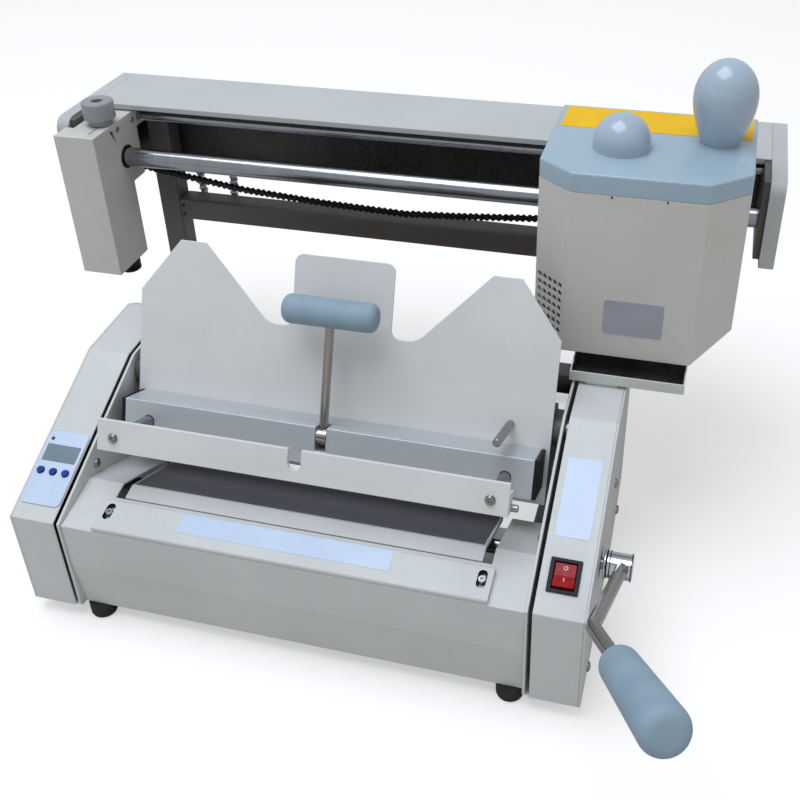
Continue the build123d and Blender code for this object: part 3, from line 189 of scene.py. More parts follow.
finishes = {
    # powder coat on sheet steel: a faint orange peel breaks up highlights, with darker rubbed patches
    "powderCoat": newFinish("lightGreyPowderCoat", {
        "tint": "#CBCCC8", "shade": "#C3C4C0", "patchMm": 90, "grainMm": 1.5, "roughness": (0.4, 0.52),
        "bump": 0.22, "speckle": 0.25, "fleck": "#B4B5B1", "worn": "#DADBD8", "wear": 0.5}),
    # the same coat on the clamp's plate and bar, a little lighter: a lit copy, painted light
    "lighterLitPowderCoat": newFinish("lighterLitPowderCoat", {
        "tint": "#D9D8D4", "shade": "#D1D0CC", "patchMm": 90, "grainMm": 1.5, "roughness": (0.4, 0.52),
        "bump": 0.2, "speckle": 0.2, "fleck": "#C2C1BD", "worn": "#E4E3E0", "wear": 0.5}),
    # the same coat on the beam's cover, darker: a shaded copy, painted shade
    "darkerShadedPowderCoat": newFinish("darkerShadedPowderCoat", {
        "tint": "#BABCBA", "shade": "#B2B4B2", "patchMm": 110, "grainMm": 1.5, "roughness": (0.44, 0.56),
        "bump": 0.2, "speckle": 0.2, "fleck": "#A5A7A5", "worn": "#CBCDCB", "wear": 0.5}),
    # the same coat on the head and column, warmer: a copy tinted by the warm light on fronts, painted light
    "warmerLitPowderCoat": newFinish("warmerLitCopyPowderCoat", {
        "tint": "#CFCCC4", "shade": "#C6C3BA", "patchMm": 110, "grainMm": 1.5, "roughness": (0.4, 0.52),
        "bump": 0.22, "speckle": 0.25, "fleck": "#B0AEA6", "worn": "#D8D6CF", "wear": 0.5}),
    # grey anodised aluminium extrusion: satin, with very fine drawing lines along the bar
    "satinAluminium": newFinish("anodisedBarAluminium", {
        "tint": "#B6BBBD", "shade": "#ACB1B3", "patchMm": 60, "grainMm": 0.9, "stretch": (0.03, 1.0, 1.0),
        "metallic": 0.35, "roughness": (0.34, 0.46), "bump": 0.2, "worn": "#D0D6D8", "wear": 0.6}),
    # brown-grey frame enamel: low sheen, dust settles as paler patches
    "frameEnamel": newFinish("brownGreyFrameEnamel", {
        "tint": "#4B4541", "shade": "#55504C", "patchMm": 70, "grainMm": 1.6, "roughness": (0.42, 0.56),
        "bump": 0.25, "speckle": 0.3, "fleck": "#6A6561", "worn": "#6E6964", "wear": 0.5}),
    # sprayed blue-grey lid: smooth, a soft wide highlight and hardly any texture
    "lidEnamel": newFinish("blueGreyLidEnamel", {
        "tint": "#9DB2BE", "shade": "#98ADB9", "patchMm": 120, "grainMm": 1.4, "roughness": (0.28, 0.34),
        "bump": 0.03, "worn": "#A9BAC4", "wear": 0.5, "Coat Weight": 0.25, "Coat Roughness": 0.2}),
    # polished moulded knobs: clear reflections over a blue-grey body
    "glossMoulding": newFinish("blueGreyGlossMoulding", {
        "tint": "#A9B9C6", "shade": "#A3B4C1", "patchMm": 50, "grainMm": 2.4, "roughness": (0.2, 0.28),
        "bump": 0.05, "Coat Weight": 0.5, "Coat Roughness": 0.15}),
    # foamed grip: dull, with fine scuffs that pale it
    "softGrip": newFinish("blueGreyFoamGrip", {
        "tint": "#8DA2AF", "shade": "#869BA9", "patchMm": 26, "grainMm": 0.9, "roughness": (0.52, 0.7),
        "bump": 0.35, "speckle": 0.35, "fleck": "#A3B5C1"}),
    # ground bar steel: bright, with fine rings from the grinding wheel
    "groundSteel": newFinish("groundRodSteel", {
        "tint": "#9C9DA1", "shade": "#94959A", "patchMm": 12, "grainMm": 0.9, "stretch": (1.0, 0.05, 0.05),
        "metallic": 1.0, "roughness": (0.14, 0.2), "bump": 0.03}),
    # drawn rod of the levers: duller, with long draw marks
    "drawnSteel": newFinish("drawnLeverSteel", {
        "tint": "#A19D98", "shade": "#989490", "patchMm": 14, "grainMm": 0.9, "stretch": (1.0, 0.12, 0.12),
        "metallic": 1.0, "roughness": (0.16, 0.24), "bump": 0.04}),
    # chrome plate: mirror, almost no grain
    "chromePlate": newFinish("polishedChromePlate", {
        "tint": "#D2D4D8", "shade": "#C6C8CD", "patchMm": 20, "grainMm": 2.0, "metallic": 1.0,
        "roughness": (0.05, 0.12), "bump": 0.03}),
    # zinc plated screws and pins
    "zincPlate": newFinish("zincPlatedSteel", {
        "tint": "#A09E98", "shade": "#8E8C86", "patchMm": 4, "grainMm": 0.7, "metallic": 1.0,
        "roughness": (0.22, 0.36), "bump": 0.1}),
    # oiled black chain and cutter: dark with small bright rubs on the high edges
    "blackOxide": newFinish("oiledBlackOxide", {
        "tint": "#1D1C1C", "shade": "#2B2927", "patchMm": 5, "grainMm": 0.6, "metallic": 0.7,
        "roughness": (0.3, 0.5), "bump": 0.2, "speckle": 0.5, "fleck": "#45413D"}),
    # matt black mouldings: bezel, end caps, inlet
    "blackMoulding": newFinish("mattBlackMoulding", {
        "tint": "#141415", "shade": "#19191A", "patchMm": 12, "grainMm": 0.8, "roughness": (0.45, 0.6),
        "bump": 0.15, "Specular IOR Level": 0.25}),
    # grey moulded knob of the notcher: smooth and even
    "greyMoulding": newFinish("greyKnobMoulding", {
        "tint": "#949696", "shade": "#8E9090", "patchMm": 30, "grainMm": 1.4, "roughness": (0.36, 0.46),
        "bump": 0.08}),
    # rubber feet: very dull, dusty where they curve
    "rubberFoot": newFinish("mouldedBlackRubber", {
        "tint": "#191919", "shade": "#222221", "patchMm": 9, "grainMm": 1.0, "roughness": (0.7, 0.85),
        "bump": 0.3, "speckle": 0.3, "fleck": "#33312F"}),
    # near-black sheet, painted shade: the insides of the tray and beam, and the sheet behind the vents
    "shadeDarkSheet": newFinish("paintedShadeSheet", {
        "tint": "#1C1B19", "shade": "#2D2A27", "patchMm": 24, "grainMm": 1.8, "roughness": (0.22, 0.5),
        "bump": 0.25, "speckle": 0.4, "fleck": "#4A453F"}),
    # dark anodised table insert: satin, with fine drawing lines along the bar
    "tableInsert": newFinish("darkAnodisedInsert", {
        "tint": "#6B6A6E", "shade": "#605F63", "patchMm": 60, "grainMm": 1.0, "stretch": (0.06, 1.0, 1.0),
        "metallic": 0.3, "roughness": (0.36, 0.5), "bump": 0.25, "speckle": 0.2, "fleck": "#86858A"}),
    # cast and machined aluminium of the tank, wheel and blocks
    "castAluminium": newFinish("castTankAluminium", {
        "tint": "#A9ABAE", "shade": "#97999C", "patchMm": 14, "grainMm": 1.2, "metallic": 1.0,
        "roughness": (0.34, 0.5), "bump": 0.35}),
    # sintered bushes: porous, warm
    "sinteredBronze": newFinish("sinteredBronze", {
        "tint": "#A27B45", "shade": "#8A6638", "patchMm": 5, "grainMm": 0.6, "metallic": 1.0,
        "roughness": (0.35, 0.5), "bump": 0.3}),
    # printed polyester film, left bare: pale blue with a soft sheen
    "paleFilm": newFinish("bareBlueFilm", {
        "tint": "#C4D2E5", "shade": "#BDCCE1", "patchMm": 40, "grainMm": 2.0, "roughness": (0.28, 0.34),
        "bump": 0.03, "Coat Weight": 0.2, "Coat Roughness": 0.25}),
    # brushed silver label on the head, left bare
    "silverFilm": newFinish("bareSilverFilm", {
        "tint": "#A9ADB4", "shade": "#9DA1A9", "patchMm": 20, "grainMm": 0.8, "stretch": (0.1, 1.0, 1.0),
        "metallic": 0.25, "roughness": (0.3, 0.4), "bump": 0.1}),
    # saturated yellow tape along the lid's back edge, left bare
    "yellowFilm": newFinish("bareYellowTape", {
        "tint": "#F4C000", "shade": "#ECB800", "patchMm": 30, "grainMm": 1.6, "roughness": (0.4, 0.5),
        "bump": 0.05, "speckle": 0.1, "fleck": "#C99F00", "Specular IOR Level": 0.2}),
    # lettering ink of the switch marks
    "paleInk": newFinish("paleMarkInk", {
        "tint": "#E9E4E0", "shade": "#DAD4D0", "patchMm": 2, "grainMm": 0.5, "roughness": (0.4, 0.5),
        "bump": 0.05}),
    # LCD glass, switched off: grey-green with a sharp coat reflection
    "displayGlass": newFinish("idleDisplayGlass", {
        "tint": "#6C7D86", "shade": "#64757E", "patchMm": 12, "grainMm": 1.4, "roughness": (0.24, 0.32),
        "bump": 0.03, "Coat Weight": 0.3, "Coat Roughness": 0.06}),
    # domed blue keys under the panel film
    "blueKey": newFinish("mouldedBlueKey", {
        "tint": "#0E3A92", "shade": "#0C327F", "patchMm": 3, "grainMm": 0.6, "roughness": (0.4, 0.5),
        "bump": 0.05, "Specular IOR Level": 0.25}),
    # translucent red rocker: deep colour, glossy
    "redRocker": newFinish("translucentRedRocker", {
        "tint": "#A50A16", "shade": "#820910", "patchMm": 4, "grainMm": 1.0, "roughness": (0.26, 0.34),
        "bump": 0.05, "Specular IOR Level": 0.18, "Coat Weight": 0.05, "Coat Roughness": 0.08}),
    # small status lamp, off
    "darkLens": newFinish("unlitLampLens", {
        "tint": "#2A2B30", "shade": "#1D1E22", "patchMm": 2, "grainMm": 0.6, "roughness": (0.08, 0.15),
        "bump": 0.02}),
    # polyethylene spiral wrap: milky white, grey in its folds
    "spiralWrap": newFinish("milkySpiralWrap", {
        "tint": "#E6E9F0", "shade": "#D3D7DF", "patchMm": 6, "grainMm": 1.0, "roughness": (0.3, 0.42),
        "bump": 0.15}),
    # grey jacket of the lead that shows between the wrap's turns
    "leadJacket": newFinish("greyLeadJacket", {
        "tint": "#8D9098", "shade": "#7D8088", "patchMm": 8, "grainMm": 1.0, "roughness": (0.4, 0.55),
        "bump": 0.1}),
    # glass-fibre laminate of the controller
    "circuitLaminate": newFinish("greenLaminate", {
        "tint": "#17562E", "shade": "#114524", "patchMm": 6, "grainMm": 0.8, "roughness": (0.3, 0.45),
        "bump": 0.2, "speckle": 0.5, "fleck": "#8F9A5C"}),
}
print("finishes made:", len(finishes))


# ways to shape a piece
cornerSteps = 6  # facets round an outline's corner
edgeSteps = 2  # facets round a sheet's edge
weldMm = 1e-4  # a turned shape's points this near become one
nodeWeld = 1e-6  # the same for a CAD node, in metres
flatWithin = 0.4  # degrees between a CAD node's triangles that make one face


def box(low, high):
    bm = bmesh.new()
    size = [high[i] - low[i] for i in range(3)]
    middle = [(high[i] + low[i]) / 2 for i in range(3)]
    bmesh.ops.create_cube(bm, size=1.0)
    bmesh.ops.transform(bm, matrix=Matrix.Translation(middle) @ Matrix.Diagonal((*size, 1)), verts=bm.verts)
    return bm


def outlinePlate(corners, thickness, rounded=(), radius=0.0):
    bm = bmesh.new()
    verts = [bm.verts.new((x, y, 0)) for x, y in corners]
    bm.faces.new(verts)
    turning = [verts[index] for index in rounded]
    if turning:
        bmesh.ops.bevel(bm, geom=turning, offset=radius, offset_type="OFFSET", segments=cornerSteps,
                        profile=0.5, affect="VERTICES", material=-1)
    grown = bmesh.ops.extrude_face_region(bm, geom=bm.faces[:])
    moved = [part for part in grown["geom"] if isinstance(part, bmesh.types.BMVert)]
    bmesh.ops.translate(bm, vec=(0, 0, thickness), verts=moved)
    bmesh.ops.recalc_face_normals(bm, faces=bm.faces)
    return bm


def rectangle(x0, x1, y0, y1, thickness, radius=0.0):
    corners = [(x0, y0), (x1, y0), (x1, y1), (x0, y1)]
    return outlinePlate(corners, thickness, range(4) if radius else (), radius)


def turned(profile, steps=48):
    bm = bmesh.new()
    verts = [bm.verts.new((r, 0, z)) for r, z in profile]
    edges = [bm.edges.new(pair) for pair in zip(verts, verts[1:])]
    bmesh.ops.spin(bm, geom=verts + edges, cent=(0, 0, 0), axis=(0, 0, 1), angle=math.tau, steps=steps,
                   use_merge=True)
    bmesh.ops.remove_doubles(bm, verts=bm.verts, dist=weldMm)
    bmesh.ops.recalc_face_normals(bm, faces=bm.faces)
    return bm


def addShape(target, pattern, place=Matrix.Identity(4), keep=False):
    piece = pattern.copy()
    piece.transform(place)
    mesh = bpy.data.meshes.new("carrier")
    piece.to_mesh(mesh)
    target.from_mesh(mesh)
    bpy.data.meshes.remove(mesh)
    piece.free()
    if not keep:
        pattern.free()


def towards(place, direction):
    turn = Vector(direction).to_track_quat("Z", "Y").to_matrix().to_4x4()
    return Matrix.Translation(place) @ turn


# turns that stand a flat or upright shape another way
upright = Matrix.Rotation(math.radians(90), 4, "X")  # a plate drawn flat stands up and faces the front
sideways = Matrix(((0, 0, 1, 0), (1, 0, 0, 0), (0, 1, 0, 0), (0, 0, 0, 1)))  # one that is drawn as y, z
alongX = Matrix.Rotation(math.radians(90), 4, "Y")  # an upright axis points to the right
halfTurn = Matrix.Rotation(math.pi, 4, "Z")


def evenNormals(piece):
    weighing = piece.modifiers.new("faceNormals", "WEIGHTED_NORMAL")
    weighing.mode = "FACE_AREA"
    weighing.weight = 100
    weighing.keep_sharp = True


def finishPiece(bm, name, body, finish, place=machinePlace, stands=(), edge=0.0, sharp=30):
    bm.transform(place)
    mesh = bpy.data.meshes.new(name)
    bm.to_mesh(mesh)
    bm.free()
    mesh.materials.append(finishes[finish])
    piece = bpy.data.objects.new(name, mesh)
    bpy.context.scene.collection.objects.link(piece)
    mesh.shade_smooth()
    if edge:
        rounding = piece.modifiers.new("roundedEdges", "BEVEL")
        rounding.width = edge * mm
        rounding.segments = edgeSteps
        rounding.limit_method = "ANGLE"
        rounding.angle_limit = math.radians(sharp)
        rounding.use_clamp_overlap = False
        evenNormals(piece)
    else:
        mesh.set_sharp_from_angle(angle=math.radians(sharp))
    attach(piece, body)
    if stands:
        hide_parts(*stands)
    return piece


def copyOfNode(node):
    bm = bmesh.new()
    bm.from_mesh(nodes[node].data)
    bmesh.ops.remove_doubles(bm, verts=bm.verts, dist=nodeWeld)
    bmesh.ops.dissolve_limit(bm, angle_limit=math.radians(flatWithin), verts=bm.verts, edges=bm.edges)
    return bm


def dress(node, finish, edge=0.5, sharp=30, cuts=None):
    words = node.split("_")
    name = words[0] + "".join(word.capitalize() for word in words[1:])
    bm = copyOfNode(node)
    body = nodes[node]["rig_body"]
    asItLies = Matrix.Identity(4)
    if cuts is None:
        return finishPiece(bm, name, body, finish, asItLies, (node,), edge=edge, sharp=sharp)
    # a piece with cuts gets its edges rounded first, so that the cuts stay crisp
    corners = [line for line in bm.edges if line.calc_face_angle(0.0) > math.radians(sharp)]
    bmesh.ops.bevel(bm, geom=corners, offset=edge * mm, offset_type="OFFSET", segments=edgeSteps,
                    profile=0.5, affect="EDGES", material=-1)
    piece = finishPiece(carve(bm, cuts), name, body, finish, asItLies, (node,), sharp=50)
    evenNormals(piece)
    return piece


def asObject(bm, name):
    mesh = bpy.data.meshes.new(name)
    bm.to_mesh(mesh)
    bm.free()
    made = bpy.data.objects.new(name, mesh)
    bpy.context.scene.collection.objects.link(made)
    return made


def carve(bm, cutter):
    blank, tool = asObject(bm, "blank"), asObject(cutter, "tool")
    cut = blank.modifiers.new("cut", "BOOLEAN")
    cut.operation = "DIFFERENCE"
    cut.solver = "EXACT"
    cut.object = tool
    result = bpy.data.meshes.new_from_object(blank.evaluated_get(bpy.context.evaluated_depsgraph_get()))
    carved = bmesh.new()
    carved.from_mesh(result)
    for made in (blank, tool):
        bpy.data.meshes.remove(made.data)
    bpy.data.meshes.remove(result)
    return carved


def paintWhere(piece, finish, chosen, place=machinePlace):
    piece.data.materials.append(finishes[finish])
    index = len(piece.data.materials) - 1
    back = place.inverted()
    for face in piece.data.polygons:
        if chosen(back @ face.center):
            face.material_index = index


def within(value, span):
    return span[0] < value < span[1]


def cylinder(radius, low, high, sides=32):
    bm = bmesh.new()
    bmesh.ops.create_cone(bm, cap_ends=True, segments=sides, radius1=radius, radius2=radius,
                          depth=high - low)
    bmesh.ops.translate(bm, vec=(0, 0, (low + high) / 2), verts=bm.verts)
    return bm


# sheets, plates and tubes that keep their solids' shape, with real edge radii
plainPieces = {
    "base_pan": ("powderCoat", 0.5, 30),
    "inner_plates": ("powderCoat", 0.7, 30), "side_covers": ("powderCoat", 0.9, 20),
    "side_panels": ("powderCoat", 0.7, 20), "rear_cross_member": ("frameEnamel", 0.8, 30),
    "base_rails": ("frameEnamel", 2.0, 30), "uprights": ("frameEnamel", 2.0, 30),
    "cross_tube": ("frameEnamel", 2.0, 30), "main_beam": ("shadeDarkSheet", 0.8, 30),
    "beam_cover": ("darkerShadedPowderCoat", 0.8, 30), "end_caps": ("darkerShadedPowderCoat", 0.7, 30),
    "end_plates": ("frameEnamel", 0.6, 30), "slide_rods": ("groundSteel", 0.4, 30),
    "drip_tray": ("powderCoat", 0.5, 30), "table_bridge": ("zincPlate", 0.5, 30),
    "shaft_bearings": ("sinteredBronze", 0.3, 30), "pivot_pins": ("zincPlate", 0.5, 30),
    "control_panel": ("paleFilm", 0.3, 30), "display_window": ("displayGlass", 0.2, 30),
    "rocker_bezel": ("blackMoulding", 0.5, 30), "controller_board": ("circuitLaminate", 0.2, 30),
    "power_inlet": ("blackMoulding", 0.5, 30), "head_carriage": ("castAluminium", 0.6, 30),
    "rod_bushes": ("sinteredBronze", 0.3, 30), "glue_tank": ("castAluminium", 0.8, 30),
    "heater_cartridges": ("zincPlate", 0.2, 30), "lid_hinge_pins": ("zincPlate", 0.3, 30),
    "glue_wheel": ("castAluminium", 0.5, 30), "wheel_shaft": ("groundSteel", 0.2, 30),
    "guide_rods": ("groundSteel", 0.4, 30), "clamp_cheeks": ("frameEnamel", 0.5, 30),
    "clamp_bar": ("satinAluminium", 0.9, 30), "clamp_bar_caps": ("blackMoulding", 0.8, 30),
    "lever_arm": ("drawnSteel", 0.3, 30), "cam_shaft": ("groundSteel", 0.4, 30),
    "press_table": ("powderCoat", 0.7, 12), "table_insert": ("tableInsert", 0.2, 12),
    "gauge_plate": ("powderCoat", 0.4, 30), "rocker": ("redRocker", 0.6, 12),
    "button_1": ("blueKey", 0.2, 40), "button_2": ("blueKey", 0.2, 40), "button_3": ("blueKey", 0.2, 40),
    "crank_arm": ("drawnSteel", 0.5, 40),
}
dressed = {node: dress(node, finish, edge, sharp) for node, (finish, edge, sharp) in plainPieces.items()}
# painted shade: the tray's inside is dark, and so are the walls of the gauge strip's slots
tray = {"x": (202, 300), "y": (207, 301), "z": (193, 202.3)}
paintWhere(dressed["drip_tray"], "shadeDarkSheet",
           lambda at: within(at.x, tray["x"]) and within(at.y, tray["y"]) and within(at.z, tray["z"]))
slots = {"x": (160.5, 169.5), "y": (6, 34), "top": 4.7}
paintWhere(dressed["gauge_plate"], "blackMoulding",
           lambda at: within(abs(at.x), slots["x"]) and within(at.y, slots["y"]) and at.z < slots["top"],
           gaugePlace)
seam = {"outer": 203.5, "inner": 201.9, "front": -6.0, "low": 15.0, "high": 66.0, "depth": 1.6}
gaps = bmesh.new()
for side in (-1, 1):
    near, far = sorted((side * seam["outer"], side * seam["inner"]))
    addShape(gaps, box((near, seam["front"], seam["low"]), (far, seam["depth"], seam["high"])))
gaps.transform(machinePlace)
dress("base_front_cover", "powderCoat", 0.7, 4, cuts=gaps)
print("sheets, tubes and rods dressed")

# feet, turned with a rounded lower edge
foot = {"radius": 12.0, "frontTop": 15.0, "front": ((-191.0, 14.0), (191.0, 14.0)),
        "rearTop": 17.0, "rear": ((-297.6, 438.0), (191.0, 438.0))}
feet = bmesh.new()
for top, places in ((foot["frontTop"], foot["front"]), (foot["rearTop"], foot["rear"])):
    profile = [(0, 0), (9.4, 0), (11.2, 0.8), (foot["radius"], 2.8), (foot["radius"], top - 1),
               (11.4, top), (0, top)]
    for x, y in places:
        addShape(feet, turned(profile, 32), Matrix.Translation((x, y, 0)))
finishPiece(feet, "rubberFeet", "machine", "rubberFoot", stands=("rubber_feet",), sharp=50)

# the glue head: shell with its vent field, lid, knob, dome and bare labels
head = {
    "left": 160.5, "right": 334.0, "front": 223.5, "lidBack": 372.0,
    "leftChamfer": (190.3, 248.0), "rightChamfer": (302.2, 251.0),
    "lidLow": 366.4, "lidTop": 383.0, "lidSheet": 3.0, "rim": 2.0, "lidRound": 2.0,
    "ventColumns": 5, "ventRows": 7, "ventFirst": 5.6, "ventPitch": 6.6, "ventTop": 275.0, "ventDrop": 7.7,
    "ventRadius": 2.7, "ventDepth": 4.0,
    # the dark sheet behind the vents is painted shade for the head's dark inside
    "shield": ((4.0, 222.0, -6.6), (35.0, 281.0, -5.8)),  # a dark sheet behind the vents
}
vents = bmesh.new()
start = Vector((head["left"], head["leftChamfer"][1], 0))
along = Vector((head["leftChamfer"][0], head["front"], 0)) - start
along.normalize()
outward = Vector((along.y, -along.x, 0))
hole = cylinder(head["ventRadius"], -head["ventDepth"], head["ventDepth"], 16)
for column in range(head["ventColumns"]):
    for row in range(head["ventRows"]):
        at = start + along * (head["ventFirst"] + column * head["ventPitch"])
        at.z = head["ventTop"] - row * head["ventDrop"]
        addShape(vents, hole, towards(at, outward), keep=True)
hole.free()
vents.transform(machinePlace)
dress("head_body", "warmerLitPowderCoat", 0.9, 30, cuts=vents)
# a dark sheet inside the head behind the vents: painted shade
ventShadePlace = machinePlace @ Matrix((
    (along.x, 0, outward.x, start.x), (along.y, 0, outward.y, start.y), (0, 1, 0, 0), (0, 0, 0, 1)))
finishPiece(box(*head["shield"]), "ventShadeSheet", "glue_head", "shadeDarkSheet", ventShadePlace)

lidOutline = [
    (head["left"], head["lidBack"]), (head["left"], head["leftChamfer"][1]),
    (head["leftChamfer"][0], head["front"]), (head["rightChamfer"][0], head["front"]),
    (head["right"], head["rightChamfer"][1]), (head["right"], head["lidBack"]),
]
lid = outlinePlate(lidOutline, head["lidTop"] - head["lidLow"])
height = head["lidTop"] - head["lidLow"]
soft = [edge for edge in lid.edges if max(vert.co.z for vert in edge.verts) > height - 0.1]
bmesh.ops.bevel(lid, geom=soft, offset=head["lidRound"], offset_type="OFFSET", segments=4, profile=0.5,
                affect="EDGES", material=-1, clamp_overlap=True)
rim, past = head["rim"], head["lidBack"] + 1  # the hollow is open at the back, as the folded sheet is
# the chamfers' corners stand in by what keeps their wall as thick as the rim
hollow = outlinePlate([
    (head["left"] + rim, past), (head["left"] + rim, head["leftChamfer"][1] + 0.95),
    (head["leftChamfer"][0] + 0.72, head["front"] + rim),
    (head["rightChamfer"][0] - 0.74, head["front"] + rim),
    (head["right"] - rim, head["rightChamfer"][1] + 0.92),
    (head["right"] - rim, past)], height - head["lidSheet"] + 1)
hollow.transform(Matrix.Translation((0, 0, -1)))
lid = carve(lid, hollow)
knuckle = {"x": (202.55, 291.95), "y": 363.5, "z": 4.1, "radius": 4.6, "half": 11.0}
for x in knuckle["x"]:
    barrel = cylinder(knuckle["radius"], -knuckle["half"], knuckle["half"], 24)
    addShape(lid, barrel, Matrix.Translation((x, knuckle["y"], knuckle["z"])) @ alongX)
finishPiece(lid, "headLid", "lid", "lidEnamel", machinePlace @ Matrix.Translation((0, 0, head["lidLow"])),
            ("head_lid",), sharp=25)

egg = {"at": (303.5, 313.5), "height": 71.0, "widestAt": 39.05, "radius": 26.6, "neck": 16.5,
       "swell": 1.05, "lowerSteps": 12, "upperSteps": 14}
profile = [(0, 0.6), (egg["neck"] - 1.5, 0.6), (egg["neck"] - 1.0, 0)]
for step in range(egg["lowerSteps"] + 1):
    rise = step / egg["lowerSteps"]
    swell = math.sin(rise * math.pi / 2) ** egg["swell"]
    profile.append((egg["neck"] + (egg["radius"] - egg["neck"]) * swell, egg["widestAt"] * rise))
for step in range(1, egg["upperSteps"] + 1):
    turn = step / egg["upperSteps"] * math.pi / 2
    profile.append((egg["radius"] * math.cos(turn),
                    egg["widestAt"] + (egg["height"] - egg["widestAt"]) * math.sin(turn)))
profile[-1] = (0, egg["height"])
finishPiece(turned(profile, 64), "pushKnob", "lid", "glossMoulding",
            machinePlace @ Matrix.Translation((*egg["at"], head["lidTop"])), ("push_knob",), sharp=60)

dome = {"at": (223.8, 283.6), "radius": 24.6, "collar": 5.0, "steps": 16}
profile = [(0, 0), (dome["radius"], 0)]
for step in range(dome["steps"] + 1):
    turn = step / dome["steps"] * math.pi / 2
    profile.append((dome["radius"] * math.cos(turn), dome["collar"] + dome["radius"] * math.sin(turn)))
profile[-1] = (0, dome["collar"] + dome["radius"])
finishPiece(turned(profile, 64), "domeCap", "lid", "glossMoulding",
            machinePlace @ Matrix.Translation((*dome["at"], head["lidTop"])), ("dome_cap",), sharp=60)

# bare labels: body, finish, the plane that each lies on, its edges, thickness and corner radius
labels = {
    "headLabel": ("glue_head", "silverFilm",
                  machinePlace @ Matrix.Translation((0, head["front"], 0)) @ upright,
                  (225.0, 276.0, 234.8, 268.4), 0.4, 3.0),
    "lidTape": ("lid", "yellowFilm", machinePlace @ Matrix.Translation((0, 0, head["lidTop"])),
                (166.0, 330.5, 320.0, 368.0), 0.25, 0.8),
    "gaugeLabel": ("gauge", "paleFilm", gaugePlace @ Matrix.Translation((0, 0, 5.0)),
                   (-98.2, 89.5, 11.4, 31.0), 0.3, 1.0),
    "slopeLabel": ("machine", "paleFilm", slopePlace, (215.1, 243.8, 66.8, 138.0), 0.3, 2.5),
}
for name, (body, finish, place, edges, thickness, radius) in labels.items():
    finishPiece(rectangle(*edges, thickness, radius), name, body, finish, place)
# two small dark discs on the head's front under the lid are painted shade for two notches at the seam
notchShade = {"x": (224.8, 269.4), "z": 364.5, "radius": 0.9, "height": 0.5}
rivets = bmesh.new()
for x in notchShade["x"]:
    addShape(rivets, cylinder(notchShade["radius"], 0.0, notchShade["height"], 16),
             Matrix.Translation((x, head["front"], notchShade["z"])) @ upright)
finishPiece(rivets, "notchShadeDiscs", "glue_head", "blackMoulding")
print("glue head made")

# notching carriage: column with its slits, knob with a dark bore, cutter
notcher = {
    "right": -309.0, "topSlit": (-320.7, -319.3, 330.0, 352.0), "slitLow": 325.0, "slitHigh": 330.0,
    "triangle": ((350.5, 323.5), (357.8, 321.5), (359.6, 305.5)), "screws": ((365.0, 320.5), (396.0, 319.5)),
    "seamLow": 319.7, "seamHigh": 320.3, "spindle": (-322.0, 359.0), "knobLow": 328.8, "cutterLow": 155.4,
    "rodAt": (375.0, 286.0),
}
x0, x1, y0, y1 = notcher["topSlit"]
slits = box((x0, y0, notcher["slitLow"]), (x1, y1, notcher["slitHigh"]))
addShape(slits, outlinePlate(notcher["triangle"], 6.0),
         Matrix.Translation((notcher["right"] - 4.0, 0, 0)) @ sideways)
(ya, za), (yb, zb) = notcher["screws"]
addShape(slits, box((notcher["right"] - 0.5, ya, notcher["seamLow"]),
                    (notcher["right"] + 1, yb, notcher["seamHigh"])))
slits.transform(machinePlace)
dress("notcher_body", "warmerLitPowderCoat", 0.7, 30, cuts=slits)
columnScrews = bmesh.new()
for y, z in notcher["screws"]:
    pan = turned([(0, 0), (3.1, 0), (3.1, 0.5), (2.5, 1.3), (1.3, 1.7), (1.0, 0.6), (0, 0.6)], 24)
    addShape(columnScrews, pan, Matrix.Translation((notcher["right"], y, z)) @ sideways)
finishPiece(columnScrews, "columnScrews", "notcher", "zincPlate", sharp=25)
ring = turned([(10.4, 0), (12.6, 0), (12.6, 0.6), (12.2, 1.0), (10.8, 1.0), (10.4, 0.6), (10.4, 0)], 40)
finishPiece(ring, "rodWiper", "notcher", "blackMoulding",
            machinePlace @ Matrix.Translation((notcher["right"], *notcher["rodAt"])) @ sideways,
            sharp=40)
profile = [(5.05, 0), (11.4, 0), (12, 0.6), (12, 6.2), (15.8, 6.2), (16.4, 6.8), (16.4, 23.0), (16.0, 24.0),
           (15.0, 24.7), (6.4, 24.7), (5.6, 24.1), (5.05, 0)]
finishPiece(turned(profile, 56), "notcherKnob", "cutter", "greyMoulding",
            machinePlace @ Matrix.Translation((*notcher["spindle"], notcher["knobLow"])),
            ("notcher_knob",), sharp=35)
profile = [(0, 0), (10.5, 0), (12, 1.2), (12, 4.6), (11.1, 5.2), (11.1, 6.4), (12, 7), (12, 12.6), (11.2, 14),
           (5, 14), (5, 194.0), (4.4, 194.8), (0, 194.8)]
finishPiece(turned(profile, 32), "notcherCutter", "cutter", "blackOxide",
            machinePlace @ Matrix.Translation((*notcher["spindle"], notcher["cutterLow"])),
            ("notcher_cutter",), sharp=35)
print("notching carriage made")

# clamp: back plate, front bar, pins and screws
clamp = {
    "plateBack": 95.2, "plateThickness": 2.0, "round": 8.0,
    "half": ((46.5, 175), (46.5, 109), (69.7, 109), (133, 175), (158, 175), (196, 126), (196, -20)),
    "barHalf": 180.0, "barHeight": 27.8, "barThickness": 4.2, "notchHalf": 5.8, "notchFloor": 10.0,
    "screwX": 165.0, "screwW": 12.3,
}
right = list(clamp["half"])
outline = right + [(-x, w) for x, w in reversed(right)]
count = len(outline)
inward = (0, 1, 2, count - 3, count - 2, count - 1)  # the corners of the gap in the middle and of its walls
backPlate = outlinePlate(outline, clamp["plateThickness"], inward, clamp["round"])
finishPiece(backPlate, "backPlate", "clamp", "lighterLitPowderCoat",
            clampPlace @ Matrix.Translation((0, clamp["plateBack"], 0)) @ upright, ("back_plate",),
            edge=0.5)

